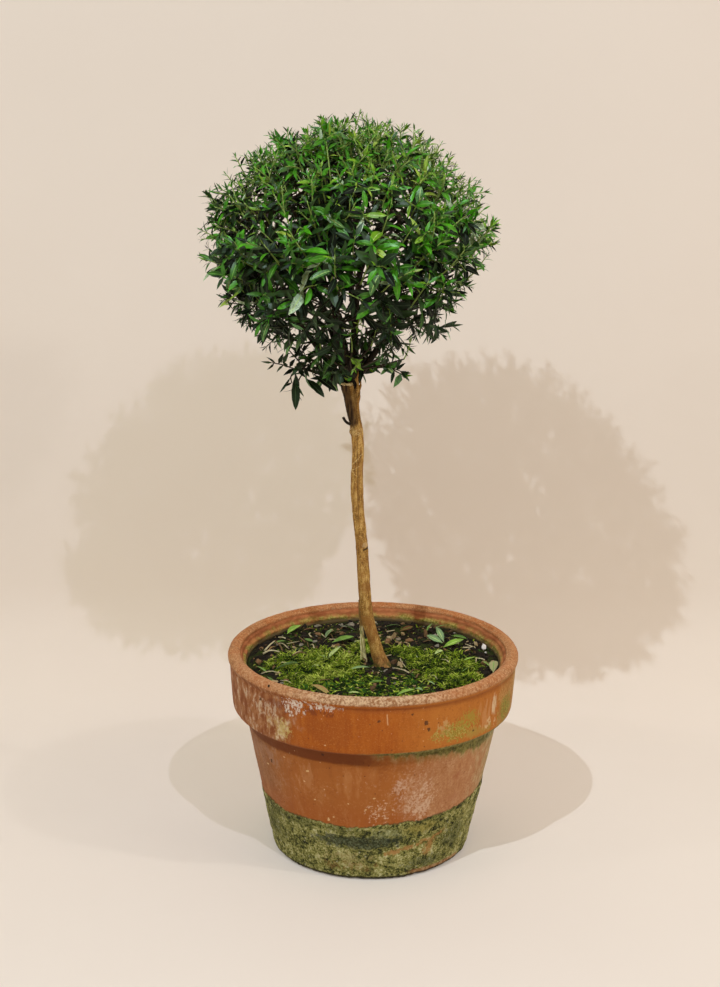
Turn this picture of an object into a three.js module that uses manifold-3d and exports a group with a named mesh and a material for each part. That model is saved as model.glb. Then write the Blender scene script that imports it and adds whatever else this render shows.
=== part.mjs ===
// A small-leaved myrtle grown as a standard: a clipped ball of foliage on a bare, leaning stem, in a heavy-rimmed clay pot.
// Millimetres, +Z up. The origin is the centre of the pot's flat underside, -Y is the side seen from the front, +X is to its right.
import * as THREE from "three";
import { mergeVertices } from "three/addons/utils/BufferGeometryUtils.js";
import Module from "manifold-3d";

const wasm = await Module();
wasm.setup();

// ---- driving dimensions -------------------------------------------------------------------------------------------
const GAP = 0.4; // room left between pieces that touch

// clay pot
const POT_HEIGHT = 149.5;
const RIM_RADIUS = 105; // outside of the rolled lip
const RIM_MOUTH_RADIUS = 96.8; // inside of the lip
const BAND_FOOT_RADIUS = 101.8; // lower edge of the rim band
const BAND_FOOT_Z = 106;
const BODY_TOP_RADIUS = 92.6; // body just under the band
const BASE_RADIUS = 71.4;
const BASE_THICK = 9.5;
const INNER_SHOULDER_RADIUS = 84.3; // inside wall level with the band's lower edge
const INNER_FLOOR_RADIUS = 61.5;
const DRAIN_HOLES = 3;
const DRAIN_RADIUS = 6.2;
const DRAIN_CIRCLE = 34;
const POT_SEGMENTS = 36;

// soil and moss
const SOIL_Z = 139.2; // level top, where the stem is cut flat
const SOIL_EDGE_Z = 137.4; // shallow dip along the wall
const SOIL_FLAT_RADIUS = 84;
const MOSS_HEIGHT = 3.2;

// stem
const STEM_FOOT = [8, -10];
const STEM_TOP_Z = 344;
const STEM_SIDES = 12;
const STEM_STEPS = 26;
const ROOT_FLARE = 4.4; // added radius at the ground
const ROOT_FLARE_FALL = 7;
const HEAD_SWELL = 2.9; // added radius at the fork
const HEAD_SWELL_RISE = 14;

// crown
const CROWN_CENTRE = new THREE.Vector3(-18.6, 0, 440.6);
const CROWN_RADIUS = 100; // across
const CROWN_RISE = 83.5; // above its centre
const CROWN_DROP = 97; // below its centre
const CROWN_FUNNEL = 1.52; // 2 would make the lower half an ellipse; less draws it in towards the fork
const CORE_RADIUS = 13; // open middle that the boughs climb through
const MASS_DETAIL = 3;
const MASS_GAP = 1.2;
const MASS_CORNER = 13; // higher makes the masses' corners sharper
const MASS_UNEVEN = 0.07;

// ---- helpers ------------------------------------------------------------------------------------------------------
const V = (x, y, z) => new THREE.Vector3(x, y, z);

function solid(geometry) {
  const g = geometry.clone();
  for (const name of ["normal", "uv"]) g.deleteAttribute(name);
  const merged = mergeVertices(g, 1e-3);
  return new wasm.Manifold(
    new wasm.Mesh({
      numProp: 3,
      vertProperties: new Float32Array(merged.attributes.position.array),
      triVerts: new Uint32Array(merged.index.array),
    }),
  );
}

function geometryOf(made) {
  const m = made.getMesh();
  const xyz = new Float32Array(m.numVert * 3);
  for (let i = 0; i < m.numVert; i++)
    xyz.set(m.vertProperties.subarray(i * m.numProp, i * m.numProp + 3), i * 3);
  const g = new THREE.BufferGeometry();
  g.setAttribute("position", new THREE.BufferAttribute(xyz, 3));
  g.setIndex(new THREE.BufferAttribute(new Uint32Array(m.triVerts), 1));
  g.computeVertexNormals();
  return g;
}

// A slow, smooth unevenness between -1 and 1 over directions, different for each seed.
function wobble(d, seed, scale) {
  let sum = 0;
  for (let k = 1; k <= 4; k++) {
    const a = seed * 1.7 + k * 2.39;
    const b = seed * 0.9 + k * 1.31;
    const along =
      d.x * Math.cos(a) * Math.cos(b) +
      d.y * Math.sin(a) * Math.cos(b) +
      d.z * Math.sin(b);
    sum += Math.sin(along * scale * (1 + 0.35 * k) + seed * k);
  }
  return sum / 4;
}

// A round, tapering limb: a cylinder bent along a curve. radiusAt(t) is its radius, and grow widens and lengthens it.
// An upright limb has level rings, so that both of its ends are flat cuts.
function limb(curve, radiusAt, sides, steps, grow = 0, to = 1, upright = false) {
  const g = new THREE.CylinderGeometry(1, 1, 1, sides, steps);
  const frames = curve.computeFrenetFrames(steps, false);
  const p = g.attributes.position;
  for (let i = 0; i < p.count; i++) {
    const s = p.getY(i) + 0.5;
    const k = Math.round(s * steps);
    const t = to * s;
    const tangent = upright ? V(0, 0, 1) : curve.getTangentAt(t);
    // The frame is turned onto this point's own tangent, so that the ends are square to the limb.
    const n = (upright ? V(1, 0, 0) : frames.normals[k].clone())
      .addScaledVector(tangent, upright ? 0 : -frames.normals[k].dot(tangent))
      .normalize();
    const b = V(0, 0, 0).crossVectors(tangent, n);
    const r = radiusAt(t) + grow;
    const q = curve
      .getPointAt(t)
      .addScaledVector(n, p.getX(i) * r)
      .addScaledVector(b, -p.getZ(i) * r);
    if (k === 0) q.addScaledVector(tangent, -grow);
    if (k === steps) q.addScaledVector(tangent, grow);
    p.setXYZ(i, q.x, q.y, q.z);
  }
  return g;
}

// ---- pot ----------------------------------------------------------------------------------------------------------
function pot() {
  const profile = [
    [0, 0],
    [BASE_RADIUS - 3, 0],
    [BASE_RADIUS + 0.2, 3],
    [(BASE_RADIUS + BODY_TOP_RADIUS) / 2, BAND_FOOT_Z / 2],
    [BODY_TOP_RADIUS, BAND_FOOT_Z],
    [BAND_FOOT_RADIUS - 3, BAND_FOOT_Z + 0.4],
    [BAND_FOOT_RADIUS - 0.4, BAND_FOOT_Z + 3.4],
    [RIM_RADIUS - 1.1, POT_HEIGHT - 8.5],
    [RIM_RADIUS, POT_HEIGHT - 5.2],
    [RIM_RADIUS - 0.9, POT_HEIGHT - 2],
    [RIM_RADIUS - 3, POT_HEIGHT - 0.2],
    [RIM_MOUTH_RADIUS + 1.8, POT_HEIGHT],
    [RIM_MOUTH_RADIUS, POT_HEIGHT - 1.8],
    [RIM_MOUTH_RADIUS - 4.4, POT_HEIGHT - 8],
    [RIM_MOUTH_RADIUS - 7, POT_HEIGHT - 21],
    [INNER_SHOULDER_RADIUS, BAND_FOOT_Z],
    [INNER_FLOOR_RADIUS + 1.5, BASE_THICK + 5],
    [INNER_FLOOR_RADIUS - 2.5, BASE_THICK],
    [0, BASE_THICK],
  ].map(([r, z]) => new THREE.Vector2(r, z));
  const g = new THREE.LatheGeometry(profile, POT_SEGMENTS).rotateX(Math.PI / 2);
  let body = solid(g);
  for (let k = 0; k < DRAIN_HOLES; k++) {
    const a = (k / DRAIN_HOLES) * Math.PI * 2 + Math.PI / 2;
    const hole = new THREE.CylinderGeometry(DRAIN_RADIUS, DRAIN_RADIUS, BASE_THICK * 3, 12)
      .rotateX(Math.PI / 2)
      .translate(DRAIN_CIRCLE * Math.cos(a), DRAIN_CIRCLE * Math.sin(a), BASE_THICK / 2);
    body = body.subtract(solid(hole));
  }
  return { body, profile };
}

// The inside wall's radius at a height, for whatever fills the pot.
function innerRadius(profile, z) {
  const inside = profile.slice(12);
  for (let i = 0; i + 1 < inside.length; i++) {
    const [a, b] = [inside[i], inside[i + 1]];
    if (z <= a.y && z >= b.y) return b.x + ((z - b.y) / (a.y - b.y || 1)) * (a.x - b.x);
  }
  return inside[0].x;
}

const { body: potBody, profile: potProfile } = pot();

function soil() {
  const wall = (z) => innerRadius(potProfile, z) - GAP;
  const floor = BASE_THICK + GAP;
  const profile = [
    [0, floor],
    [INNER_FLOOR_RADIUS - 3.2, floor],
    [wall(BASE_THICK + 5), BASE_THICK + 5],
    [wall(BAND_FOOT_Z), BAND_FOOT_Z],
    [wall(POT_HEIGHT - 21), POT_HEIGHT - 21],
    [wall(SOIL_EDGE_Z), SOIL_EDGE_Z],
    [SOIL_FLAT_RADIUS, SOIL_Z],
    [0, SOIL_Z],
  ].map(([r, z]) => new THREE.Vector2(r, z));
  return solid(new THREE.LatheGeometry(profile, POT_SEGMENTS).rotateX(Math.PI / 2));
}

// A low cushion of moss with an uneven edge and top, flat underneath.
function mossPad(x, y, length, width, turn, seed, grow) {
  const rings = [
    [0, 0.9],
    [0.42, 1],
    [0.78, 0.72],
    [1, 0.16],
    [1.0, 0],
    [0, 0],
  ].map(([r, h]) => new THREE.Vector2(r, h));
  const g = new THREE.LatheGeometry(rings.reverse(), 22).rotateX(Math.PI / 2);
  const p = g.attributes.position;
  for (let i = 0; i < p.count; i++) {
    const a = Math.atan2(p.getY(i), p.getX(i));
    const r = Math.hypot(p.getX(i), p.getY(i));
    const edge = 1 + 0.16 * Math.sin(3 * a + seed) + 0.09 * Math.sin(5 * a + 2 * seed);
    const h = p.getZ(i) * MOSS_HEIGHT * (1 + 0.22 * Math.sin(4 * a + 3 * seed) * r);
    const px = r * (edge * length + grow) * Math.cos(a);
    const py = r * (edge * width + grow) * Math.sin(a);
    p.setXYZ(
      i,
      x + px * Math.cos(turn) - py * Math.sin(turn),
      y + px * Math.sin(turn) + py * Math.cos(turn),
      SOIL_Z + GAP + h,
    );
  }
  return solid(g);
}

// ---- stem and boughs ----------------------------------------------------------------------------------------------
// The stem's line: it leaves the ground leaning left, straightens, and has a slight double bend below the fork.
const stemHeights = [0, 9, 18, 36, 60, 90, 118, 138, 156, 172, 184, 195, 205];
const stemLean = [0, -3.6, -6.3, -11.1, -13.7, -15.6, -18.5, -19.1, -18.5, -19.5, -22.0, -23.6, -25.2];
const stemLine = new THREE.CatmullRomCurve3(
  stemHeights.map((h, i) => {
    const s = h / stemHeights[stemHeights.length - 1];
    return V(
      STEM_FOOT[0] + stemLean[i],
      STEM_FOOT[1] * (1 - s),
      SOIL_Z + GAP + s * (STEM_TOP_Z - SOIL_Z - GAP),
    );
  }),
  false,
  "centripetal",
);
const STEM_LENGTH = stemLine.getLength();
function stemRadius(t) {
  const up = t * STEM_LENGTH;
  const down = STEM_LENGTH - up;
  return (
    4.6 - 0.75 * t +
    ROOT_FLARE * 0.5 * Math.exp(-up / ROOT_FLARE_FALL) +
    0.35 * Math.exp(-(((up - 126) / 9) ** 2)) +
    HEAD_SWELL * Math.exp(-down / HEAD_SWELL_RISE)
  );
}

const limbs = [];
function addLimb(name, curve, radiusAt, sides, steps, to = 1, upright = false) {
  limbs.push({ name, curve, radiusAt, sides, steps, to, upright });
}
addLimb("trunk", stemLine, stemRadius, STEM_SIDES, STEM_STEPS, 1, true);

// A dead, bare side shoot that rises from the soil and leans on the back of the stem.
const deadLine = new THREE.CatmullRomCurve3(
  [V(-3.9, 1.4, SOIL_Z + GAP), V(-6.1, 0.9, 158), V(-8.4, -0.4, 174), V(-9.2, -1.3, 186)],
  false,
  "centripetal",
);
addLimb("dead_side_shoot", deadLine, (t) => 2.1 - 0.7 * t, 8, 6, 1, true);

// The old leader: it carries on from the fork, and ends in a second pruning cut.
const head = V(STEM_FOOT[0] + stemLean[stemLean.length - 1], 0, STEM_TOP_Z);
const leaderLine = new THREE.CatmullRomCurve3(
  [V(head.x + 0.6, 0.8, head.z + GAP), V(-19.4, 3.4, 360), V(-23.2, 4.6, 376), V(-26.2, 5, 391.5)],
  false,
  "centripetal",
);
addLimb("old_leader", leaderLine, (t) => 5.3 - 1.9 * Math.min(1, t * 2.2) + 0.3 * t, 10, 7);

// ---- foliage masses -----------------------------------------------------------------------------------------------
// The clipped outline: distance from the crown's centre to its surface.
function crownReach(d) {
  const power = d.z > 0 ? 2 : CROWN_FUNNEL;
  const across = Math.hypot(d.x, d.y) / CROWN_RADIUS;
  const along = Math.abs(d.z) / (d.z > 0 ? CROWN_RISE : CROWN_DROP);
  const even = Math.pow(Math.pow(across, power) + Math.pow(along, power), -1 / power);
  return even * (1 + 0.03 * wobble(d, 3.1, 3.4));
}
function outlineFrom(centre, d) {
  // Where a ray from inside the crown meets the outline, found by halving.
  let lo = 0;
  let hi = 260;
  for (let i = 0; i < 40; i++) {
    const mid = (lo + hi) / 2;
    const q = centre.clone().addScaledVector(d, mid).sub(CROWN_CENTRE);
    const l = q.length() || 1e-6;
    if (l < crownReach(q.clone().divideScalar(l))) lo = mid;
    else hi = mid;
  }
  return lo;
}

const masses = [];
// bearing: degrees clockwise seen from above, 0 towards the front; out: distance from the crown's axis; up: height over the crown's centre
function addMass(name, bearing, out, up, reach, free = false) {
  const a = (bearing * Math.PI) / 180;
  const centre = V(
    CROWN_CENTRE.x + out * Math.sin(a) * -1,
    CROWN_CENTRE.y - out * Math.cos(a),
    CROWN_CENTRE.z + up,
  );
  masses.push({ name, centre, reach, free, seed: masses.length * 1.37 + 0.6 });
}
const LOWER = ["front", "front_left", "back_left", "back_right", "front_right"];
LOWER.forEach((side, i) => addMass("leaves_lower_" + side, 8 + i * 72, 54, -27, 84));
const UPPER = ["front_left", "back_left", "back_right", "front_right"];
UPPER.forEach((side, i) => addMass("leaves_upper_" + side, 44 + i * 90, 50, 25, 74));
addMass("leaves_top", 0, 0, 52, 60);

function massRadius(m, d) {
  const limits = [m.reach];
  if (!m.free) {
    limits.push(outlineFrom(m.centre, d));
    for (const o of masses) {
      if (o === m || o.free) continue;
      const apart = o.centre.clone().sub(m.centre);
      const l = apart.length();
      const facing = d.dot(apart) / l;
      if (facing > 0.02) limits.push((l / 2 - MASS_GAP / 2) / facing);
    }
    // The open core: a plane square to the way to the axis.
    const inward = V(CROWN_CENTRE.x - m.centre.x, CROWN_CENTRE.y - m.centre.y, 0);
    const l = inward.length();
    if (l > 1) {
      const facing = d.dot(inward) / l;
      if (facing > 0.02) limits.push((l - CORE_RADIUS) / facing);
    }
  }
  // A soft least of the limits, which stays inside all of them and rounds the corners.
  const soft = Math.pow(limits.reduce((s, x) => s + Math.pow(x, -MASS_CORNER), 0), -1 / MASS_CORNER);
  const uneven = 0.5 + 0.3 * wobble(d, m.seed, 2.6) + 0.2 * wobble(d, m.seed + 5, 6.5);
  return soft * (1 - MASS_UNEVEN * uneven);
}

function massGeometry(m, grow = 0) {
  const g = new THREE.IcosahedronGeometry(1, m.free ? 2 : MASS_DETAIL);
  const p = g.attributes.position;
  for (let i = 0; i < p.count; i++) {
    const d = V(p.getX(i), p.getY(i), p.getZ(i)).normalize();
    const q = m.shape ? m.shape(d, grow) : m.centre.clone().addScaledVector(d, massRadius(m, d));
    p.setXYZ(i, q.x, q.y, q.z);
  }
  return g;
}

// Two loose tufts that hang below the ball: longer than wide, and leaning outwards.
function addTuft(name, centre, half, lean, seed) {
  const tilt = new THREE.Matrix4().makeRotationY(lean);
  masses.push({
    name,
    centre,
    free: true,
    seed,
    reach: half[2],
    shape: (d, grow = 0) => {
      const k = 1 - 0.2 * (0.5 + 0.5 * wobble(d, seed, 3));
      return V(d.x * (half[0] * k + grow), d.y * (half[1] * k + grow), d.z * (half[2] * k + grow))
        .applyMatrix4(tilt)
        .add(centre);
    },
  });
}
addTuft("leaves_tuft_left", V(-53, -4, 349.5), [16, 13, 19], 0.3, 2.2);
addTuft("leaves_tuft_right", V(15, -3, 353), [10, 9, 11], -0.3, 4.1);

// ---- boughs that enter the masses ---------------------------------------------------------------------------------
function boughTo(name, massName, start, via, r0, r1) {
  const m = masses.find((x) => x.name === massName);
  const curve = new THREE.CatmullRomCurve3([start, ...via, m.centre.clone()], false, "centripetal");
  const radiusAt = (t) => r0 + (r1 - r0) * t;
  // It stops where its end would touch the mass.
  let to = 0.3;
  for (; to < 0.995; to += 0.004) {
    const q = curve.getPointAt(to).sub(m.centre);
    const l = q.length();
    const d = q.clone().divideScalar(l);
    const edge = m.shape ? m.shape(d).sub(m.centre).length() : massRadius(m, d);
    if (l - edge < radiusAt(to) * 0.6 + GAP * 2) break;
  }
  addLimb(name, curve, radiusAt, 8, 6, to);
}
LOWER.forEach((side, i) => {
  const a = ((8 + i * 72) * Math.PI) / 180;
  const out = (r, z) => V(head.x - r * Math.sin(a), head.y - r * Math.cos(a), z);
  boughTo(
    "bough_lower_" + side,
    "leaves_lower_" + side,
    out(4.5, head.z + 1.6),
    [out(10, head.z + 9), out(19, head.z + 22)],
    2.7,
    1.7,
  );
});
UPPER.forEach((side, i) => {
  const a = ((44 + i * 90) * Math.PI) / 180;
  const out = (r, x, z) => V(x - r * Math.sin(a), 2.5 - r * Math.cos(a), z);
  boughTo(
    "bough_upper_" + side,
    "leaves_upper_" + side,
    out(4.6, -18.4, head.z + 13),
    [out(8, -19.5, head.z + 30), out(12, -20, head.z + 62), out(20, -19.6, head.z + 92)],
    2.5,
    1.5,
  );
});
boughTo(
  "bough_top",
  "leaves_top",
  V(head.x + 3.6, -3.4, head.z + GAP + 0.4),
  [V(head.x + 3.4, -3.6, head.z + 14), V(-13.5, -2, head.z + 45), V(-18, 0, head.z + 88)],
  2.9,
  1.6,
);
boughTo("bough_tuft_left", "leaves_tuft_left", V(head.x - 5.4, -3.2, head.z + 0.8), [V(-33, -4.5, head.z + 5.5)], 1.9, 1.3);
boughTo("bough_tuft_right", "leaves_tuft_right", V(head.x + 5.6, -2.4, head.z + 0.8), [V(-5, -3, head.z + 5.5)], 1.5, 1);

// ---- the finished tree --------------------------------------------------------------------------------------------
const looks = {
  clay: new THREE.MeshStandardMaterial({ color: 0xb5683a, roughness: 0.85, metalness: 0 }),
  soil: new THREE.MeshStandardMaterial({ color: 0x2b2118, roughness: 0.95, metalness: 0 }),
  moss: new THREE.MeshStandardMaterial({ color: 0x4f7a1e, roughness: 0.95, metalness: 0 }),
  bark: new THREE.MeshStandardMaterial({ color: 0x8f6a3a, roughness: 0.8, metalness: 0 }),
  deadwood: new THREE.MeshStandardMaterial({ color: 0xb3a07a, roughness: 0.85, metalness: 0 }),
  leaf: new THREE.MeshStandardMaterial({ color: 0x2f6a24, roughness: 0.5, metalness: 0 }),
};

const tree = new THREE.Group();
tree.name = "myrtle_standard";
function add(name, geometry, look) {
  const mesh = new THREE.Mesh(geometry, looks[look]);
  mesh.name = name;
  tree.add(mesh);
  return mesh;
}

add("pot", geometryOf(potBody), "clay");
add("soil", geometryOf(soil()), "soil");

// What is left of a piece once it is cut clear of those made before it, with a little room.
const placed = [];
function clear(made) {
  for (const other of placed) {
    if (made.intersect(other).volume() > 0) {
      const pieces = made.subtract(other).decompose();
      pieces.sort((p, q) => q.volume() - p.volume());
      made = pieces[0];
    }
  }
  return made;
}
for (const l of limbs) {
  const make = (grow) => solid(limb(l.curve, l.radiusAt, l.sides, l.steps, grow, l.to, l.upright));
  add(l.name, geometryOf(clear(make(0))), l.name === "dead_side_shoot" ? "deadwood" : "bark");
  placed.push(make(GAP));
}
add("moss_left", geometryOf(clear(mossPad(-40, -14, 36, 33, 0.25, 0.7, 0))), "moss");
placed.push(mossPad(-40, -14, 36, 33, 0.25, 0.7, GAP));
add("moss_right", geometryOf(clear(mossPad(52, -14, 25, 36, 0.2, 2.9, 0))), "moss");
for (const m of masses.filter((x) => x.free)) {
  add(m.name, geometryOf(clear(solid(massGeometry(m, 0)))), "leaf");
  placed.push(solid(massGeometry(m, MASS_GAP)));
}
for (const m of masses.filter((x) => !x.free)) add(m.name, geometryOf(clear(solid(massGeometry(m)))), "leaf");

export default tree;
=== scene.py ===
# A small-leaved myrtle grown as a standard, in a weathered clay pot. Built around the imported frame, in metres.
# Shapes are worked out in millimetres and scaled once, when a mesh is made. -Y is the front, +X is to its right.
import math

import bpy
import numpy as np
from mathutils import Matrix, Vector


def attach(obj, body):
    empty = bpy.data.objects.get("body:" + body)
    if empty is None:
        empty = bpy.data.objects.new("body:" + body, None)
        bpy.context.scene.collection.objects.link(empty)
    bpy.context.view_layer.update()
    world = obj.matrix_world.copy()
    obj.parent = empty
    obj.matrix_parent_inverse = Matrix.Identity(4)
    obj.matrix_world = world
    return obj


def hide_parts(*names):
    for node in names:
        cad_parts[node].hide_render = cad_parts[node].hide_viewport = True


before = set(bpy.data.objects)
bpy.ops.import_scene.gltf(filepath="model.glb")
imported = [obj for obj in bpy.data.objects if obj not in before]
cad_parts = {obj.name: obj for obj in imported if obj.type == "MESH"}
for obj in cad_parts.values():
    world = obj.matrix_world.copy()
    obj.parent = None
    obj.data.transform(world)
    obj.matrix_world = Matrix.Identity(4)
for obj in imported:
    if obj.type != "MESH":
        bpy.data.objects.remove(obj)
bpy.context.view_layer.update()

MM = 0.001
SEED = 815
rng = np.random.default_rng(SEED)
scene = bpy.context.scene


# ---------------------------------------------------------------------------------------------- numbers and noise
def unit(v):
    v = np.asarray(v, float)
    n = np.linalg.norm(v, axis=-1, keepdims=True)
    return v / np.where(n < 1e-12, 1.0, n)


def smooth(x, lo, hi):
    t = np.clip((np.asarray(x, float) - lo) / (hi - lo), 0, 1)
    return t * t * (3 - 2 * t)


def hash3(i, j, k, seed):
    h = (i * 374761393 + j * 668265263 + k * 2147483647 + int(seed * 10) * 144665) & 0xFFFFFFFF
    h = ((h ^ (h >> 13)) * 1274126177) & 0xFFFFFFFF
    h = (h ^ (h >> 16)) & 0xFFFFFFFF
    return h / 4294967295.0


def vnoise(p, seed=0):
    """Smooth value noise, from -1 to 1, at points (N, 3)."""
    p = np.atleast_2d(np.asarray(p, float))
    f = np.floor(p).astype(np.int64)
    t = p - f
    t = t * t * t * (t * (t * 6 - 15) + 10)
    out = 0
    for dx in (0, 1):
        for dy in (0, 1):
            for dz in (0, 1):
                w = (
                    (t[:, 0] if dx else 1 - t[:, 0])
                    * (t[:, 1] if dy else 1 - t[:, 1])
                    * (t[:, 2] if dz else 1 - t[:, 2])
                )
                out = out + w * hash3(f[:, 0] + dx, f[:, 1] + dy, f[:, 2] + dz, seed)
    return out * 2 - 1


def fbm(p, seed=0, octaves=4, gain=0.5):
    p = np.atleast_2d(np.asarray(p, float))
    total, amp, out = 0.0, 1.0, 0.0
    for o in range(octaves):
        out = out + amp * vnoise(p * (2.03**o) + 17.3 * o, seed + o)
        total += amp
        amp *= gain
    return out / total


# ---------------------------------------------------------------------------------------------- meshes
class Bag:
    """Collects faces, and makes one mesh of them."""

    def __init__(self):
        self.v, self.tri, self.quad, self.tm, self.qm, self.n = [], [], [], [], [], 0

    def add(self, v, tri=None, quad=None, m=0, qm=None):
        v = np.asarray(v, float)
        self.v.append(v)
        if tri is not None and len(tri):
            self.tri.append(np.asarray(tri, np.int64) + self.n)
            self.tm.append(np.full(len(tri), m) if np.isscalar(m) else np.asarray(m))
        if quad is not None and len(quad):
            q = m if qm is None else qm
            self.quad.append(np.asarray(quad, np.int64) + self.n)
            self.qm.append(np.full(len(quad), q) if np.isscalar(q) else np.asarray(q))
        self.n += len(v)

    def count(self):
        return sum(len(t) for t in self.tri) + 2 * sum(len(q) for q in self.quad)

    def make(self, name, materials, flat=False):
        v = np.concatenate(self.v) * MM
        tri = np.concatenate(self.tri) if self.tri else np.zeros((0, 3), np.int64)
        quad = np.concatenate(self.quad) if self.quad else np.zeros((0, 4), np.int64)
        me = bpy.data.meshes.new(name)
        me.vertices.add(len(v))
        me.vertices.foreach_set("co", v.astype(np.float32).ravel())
        loops = np.concatenate([tri.ravel(), quad.ravel()]).astype(np.int32)
        me.loops.add(len(loops))
        me.loops.foreach_set("vertex_index", loops)
        starts = np.concatenate(
            [np.arange(len(tri)) * 3, len(tri) * 3 + np.arange(len(quad)) * 4]
        ).astype(np.int32)
        me.polygons.add(len(starts))
        me.polygons.foreach_set("loop_start", starts)
        mats = np.concatenate(self.tm + self.qm) if self.tm or self.qm else np.zeros(0)
        me.polygons.foreach_set("material_index", mats.astype(np.int32))
        me.polygons.foreach_set("use_smooth", np.full(len(starts), not flat))
        for m in materials:
            me.materials.append(m)
        me.update(calc_edges=True)
        me.validate()
        ob = bpy.data.objects.new(name, me)
        scene.collection.objects.link(ob)
        return ob


def settle(ob, slot, *nodes):
    """Hangs the piece on the root body and hides the CAD nodes it stands for. The slot is not used."""
    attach(ob, "root")
    if nodes:
        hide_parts(*nodes)
    return ob


def spline(points, n, ends=True):
    """n points along a centripetal Catmull-Rom curve through the given points, evenly spaced."""
    p = np.asarray(points, float)
    p = np.vstack([2 * p[0] - p[1], p, 2 * p[-1] - p[-2]])
    out = []
    for i in range(1, len(p) - 2):
        a, b, c, d = p[i - 1 : i + 3]
        t = [0.0]
        for u, w in ((a, b), (b, c), (c, d)):
            t.append(t[-1] + max(1e-4, math.sqrt(np.linalg.norm(w - u))))
        s = np.linspace(t[1], t[2], 24, endpoint=False)[:, None]
        a1 = (t[1] - s) / (t[1] - t[0]) * a + (s - t[0]) / (t[1] - t[0]) * b
        a2 = (t[2] - s) / (t[2] - t[1]) * b + (s - t[1]) / (t[2] - t[1]) * c
        a3 = (t[3] - s) / (t[3] - t[2]) * c + (s - t[2]) / (t[3] - t[2]) * d
        b1 = (t[2] - s) / (t[2] - t[0]) * a1 + (s - t[0]) / (t[2] - t[0]) * a2
        b2 = (t[3] - s) / (t[3] - t[1]) * a2 + (s - t[1]) / (t[3] - t[1]) * a3
        out.append((t[2] - s) / (t[2] - t[1]) * b1 + (s - t[1]) / (t[2] - t[1]) * b2)
    out = np.vstack(out + [p[-2][None]])
    length = np.concatenate([[0], np.cumsum(np.linalg.norm(np.diff(out, axis=0), axis=1))])
    want = np.linspace(0, length[-1], n)
    return np.stack([np.interp(want, length, out[:, k]) for k in range(3)], axis=1)


def frames(points, first=None):
    """Tangent, side and third direction at each point, carried along without twisting."""
    p = np.asarray(points, float)
    t = unit(np.gradient(p, axis=0))
    s = np.zeros_like(p)
    start = np.array([1.0, 0, 0]) if first is None else np.asarray(first, float)
    if abs(start @ t[0]) > 0.95:
        start = np.array([0, 1.0, 0])
    s[0] = unit(start - (start @ t[0]) * t[0])
    for i in range(1, len(p)):
        s[i] = unit(s[i - 1] - (s[i - 1] @ t[i]) * t[i])
    return t, s, np.cross(t, s)


def tube(points, radii, sides, cap=(True, True), shape=None):
    """A tube along points. shape(angle array, ring number) multiplies the radius."""
    p = np.asarray(points, float)
    n = len(p)
    r = np.broadcast_to(np.asarray(radii, float), (n,))
    _, s, b = frames(p)
    a = np.arange(sides) / sides * 2 * math.pi
    ring = np.cos(a)[None, :, None] * s[:, None] + np.sin(a)[None, :, None] * b[:, None]
    k = np.ones((n, sides)) if shape is None else shape
    v = p[:, None] + ring * (r[:, None] * k)[:, :, None]
    v = v.reshape(-1, 3)
    i = np.arange(n - 1)[:, None] * sides
    j = np.arange(sides)[None]
    j2 = (j + 1) % sides
    quad = np.stack([i + j, i + j2, i + sides + j2, i + sides + j], axis=-1).reshape(-1, 4)
    tri = []
    if cap[0]:
        v = np.vstack([v, p[0]])
        c = len(v) - 1
        tri += [(c, (q + 1) % sides, q) for q in range(sides)]
    if cap[1]:
        v = np.vstack([v, p[-1]])
        c = len(v) - 1
        o = (n - 1) * sides
        tri += [(c, o + q, o + (q + 1) % sides) for q in range(sides)]
    return v, np.array(tri).reshape(-1, 3), quad


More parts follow.
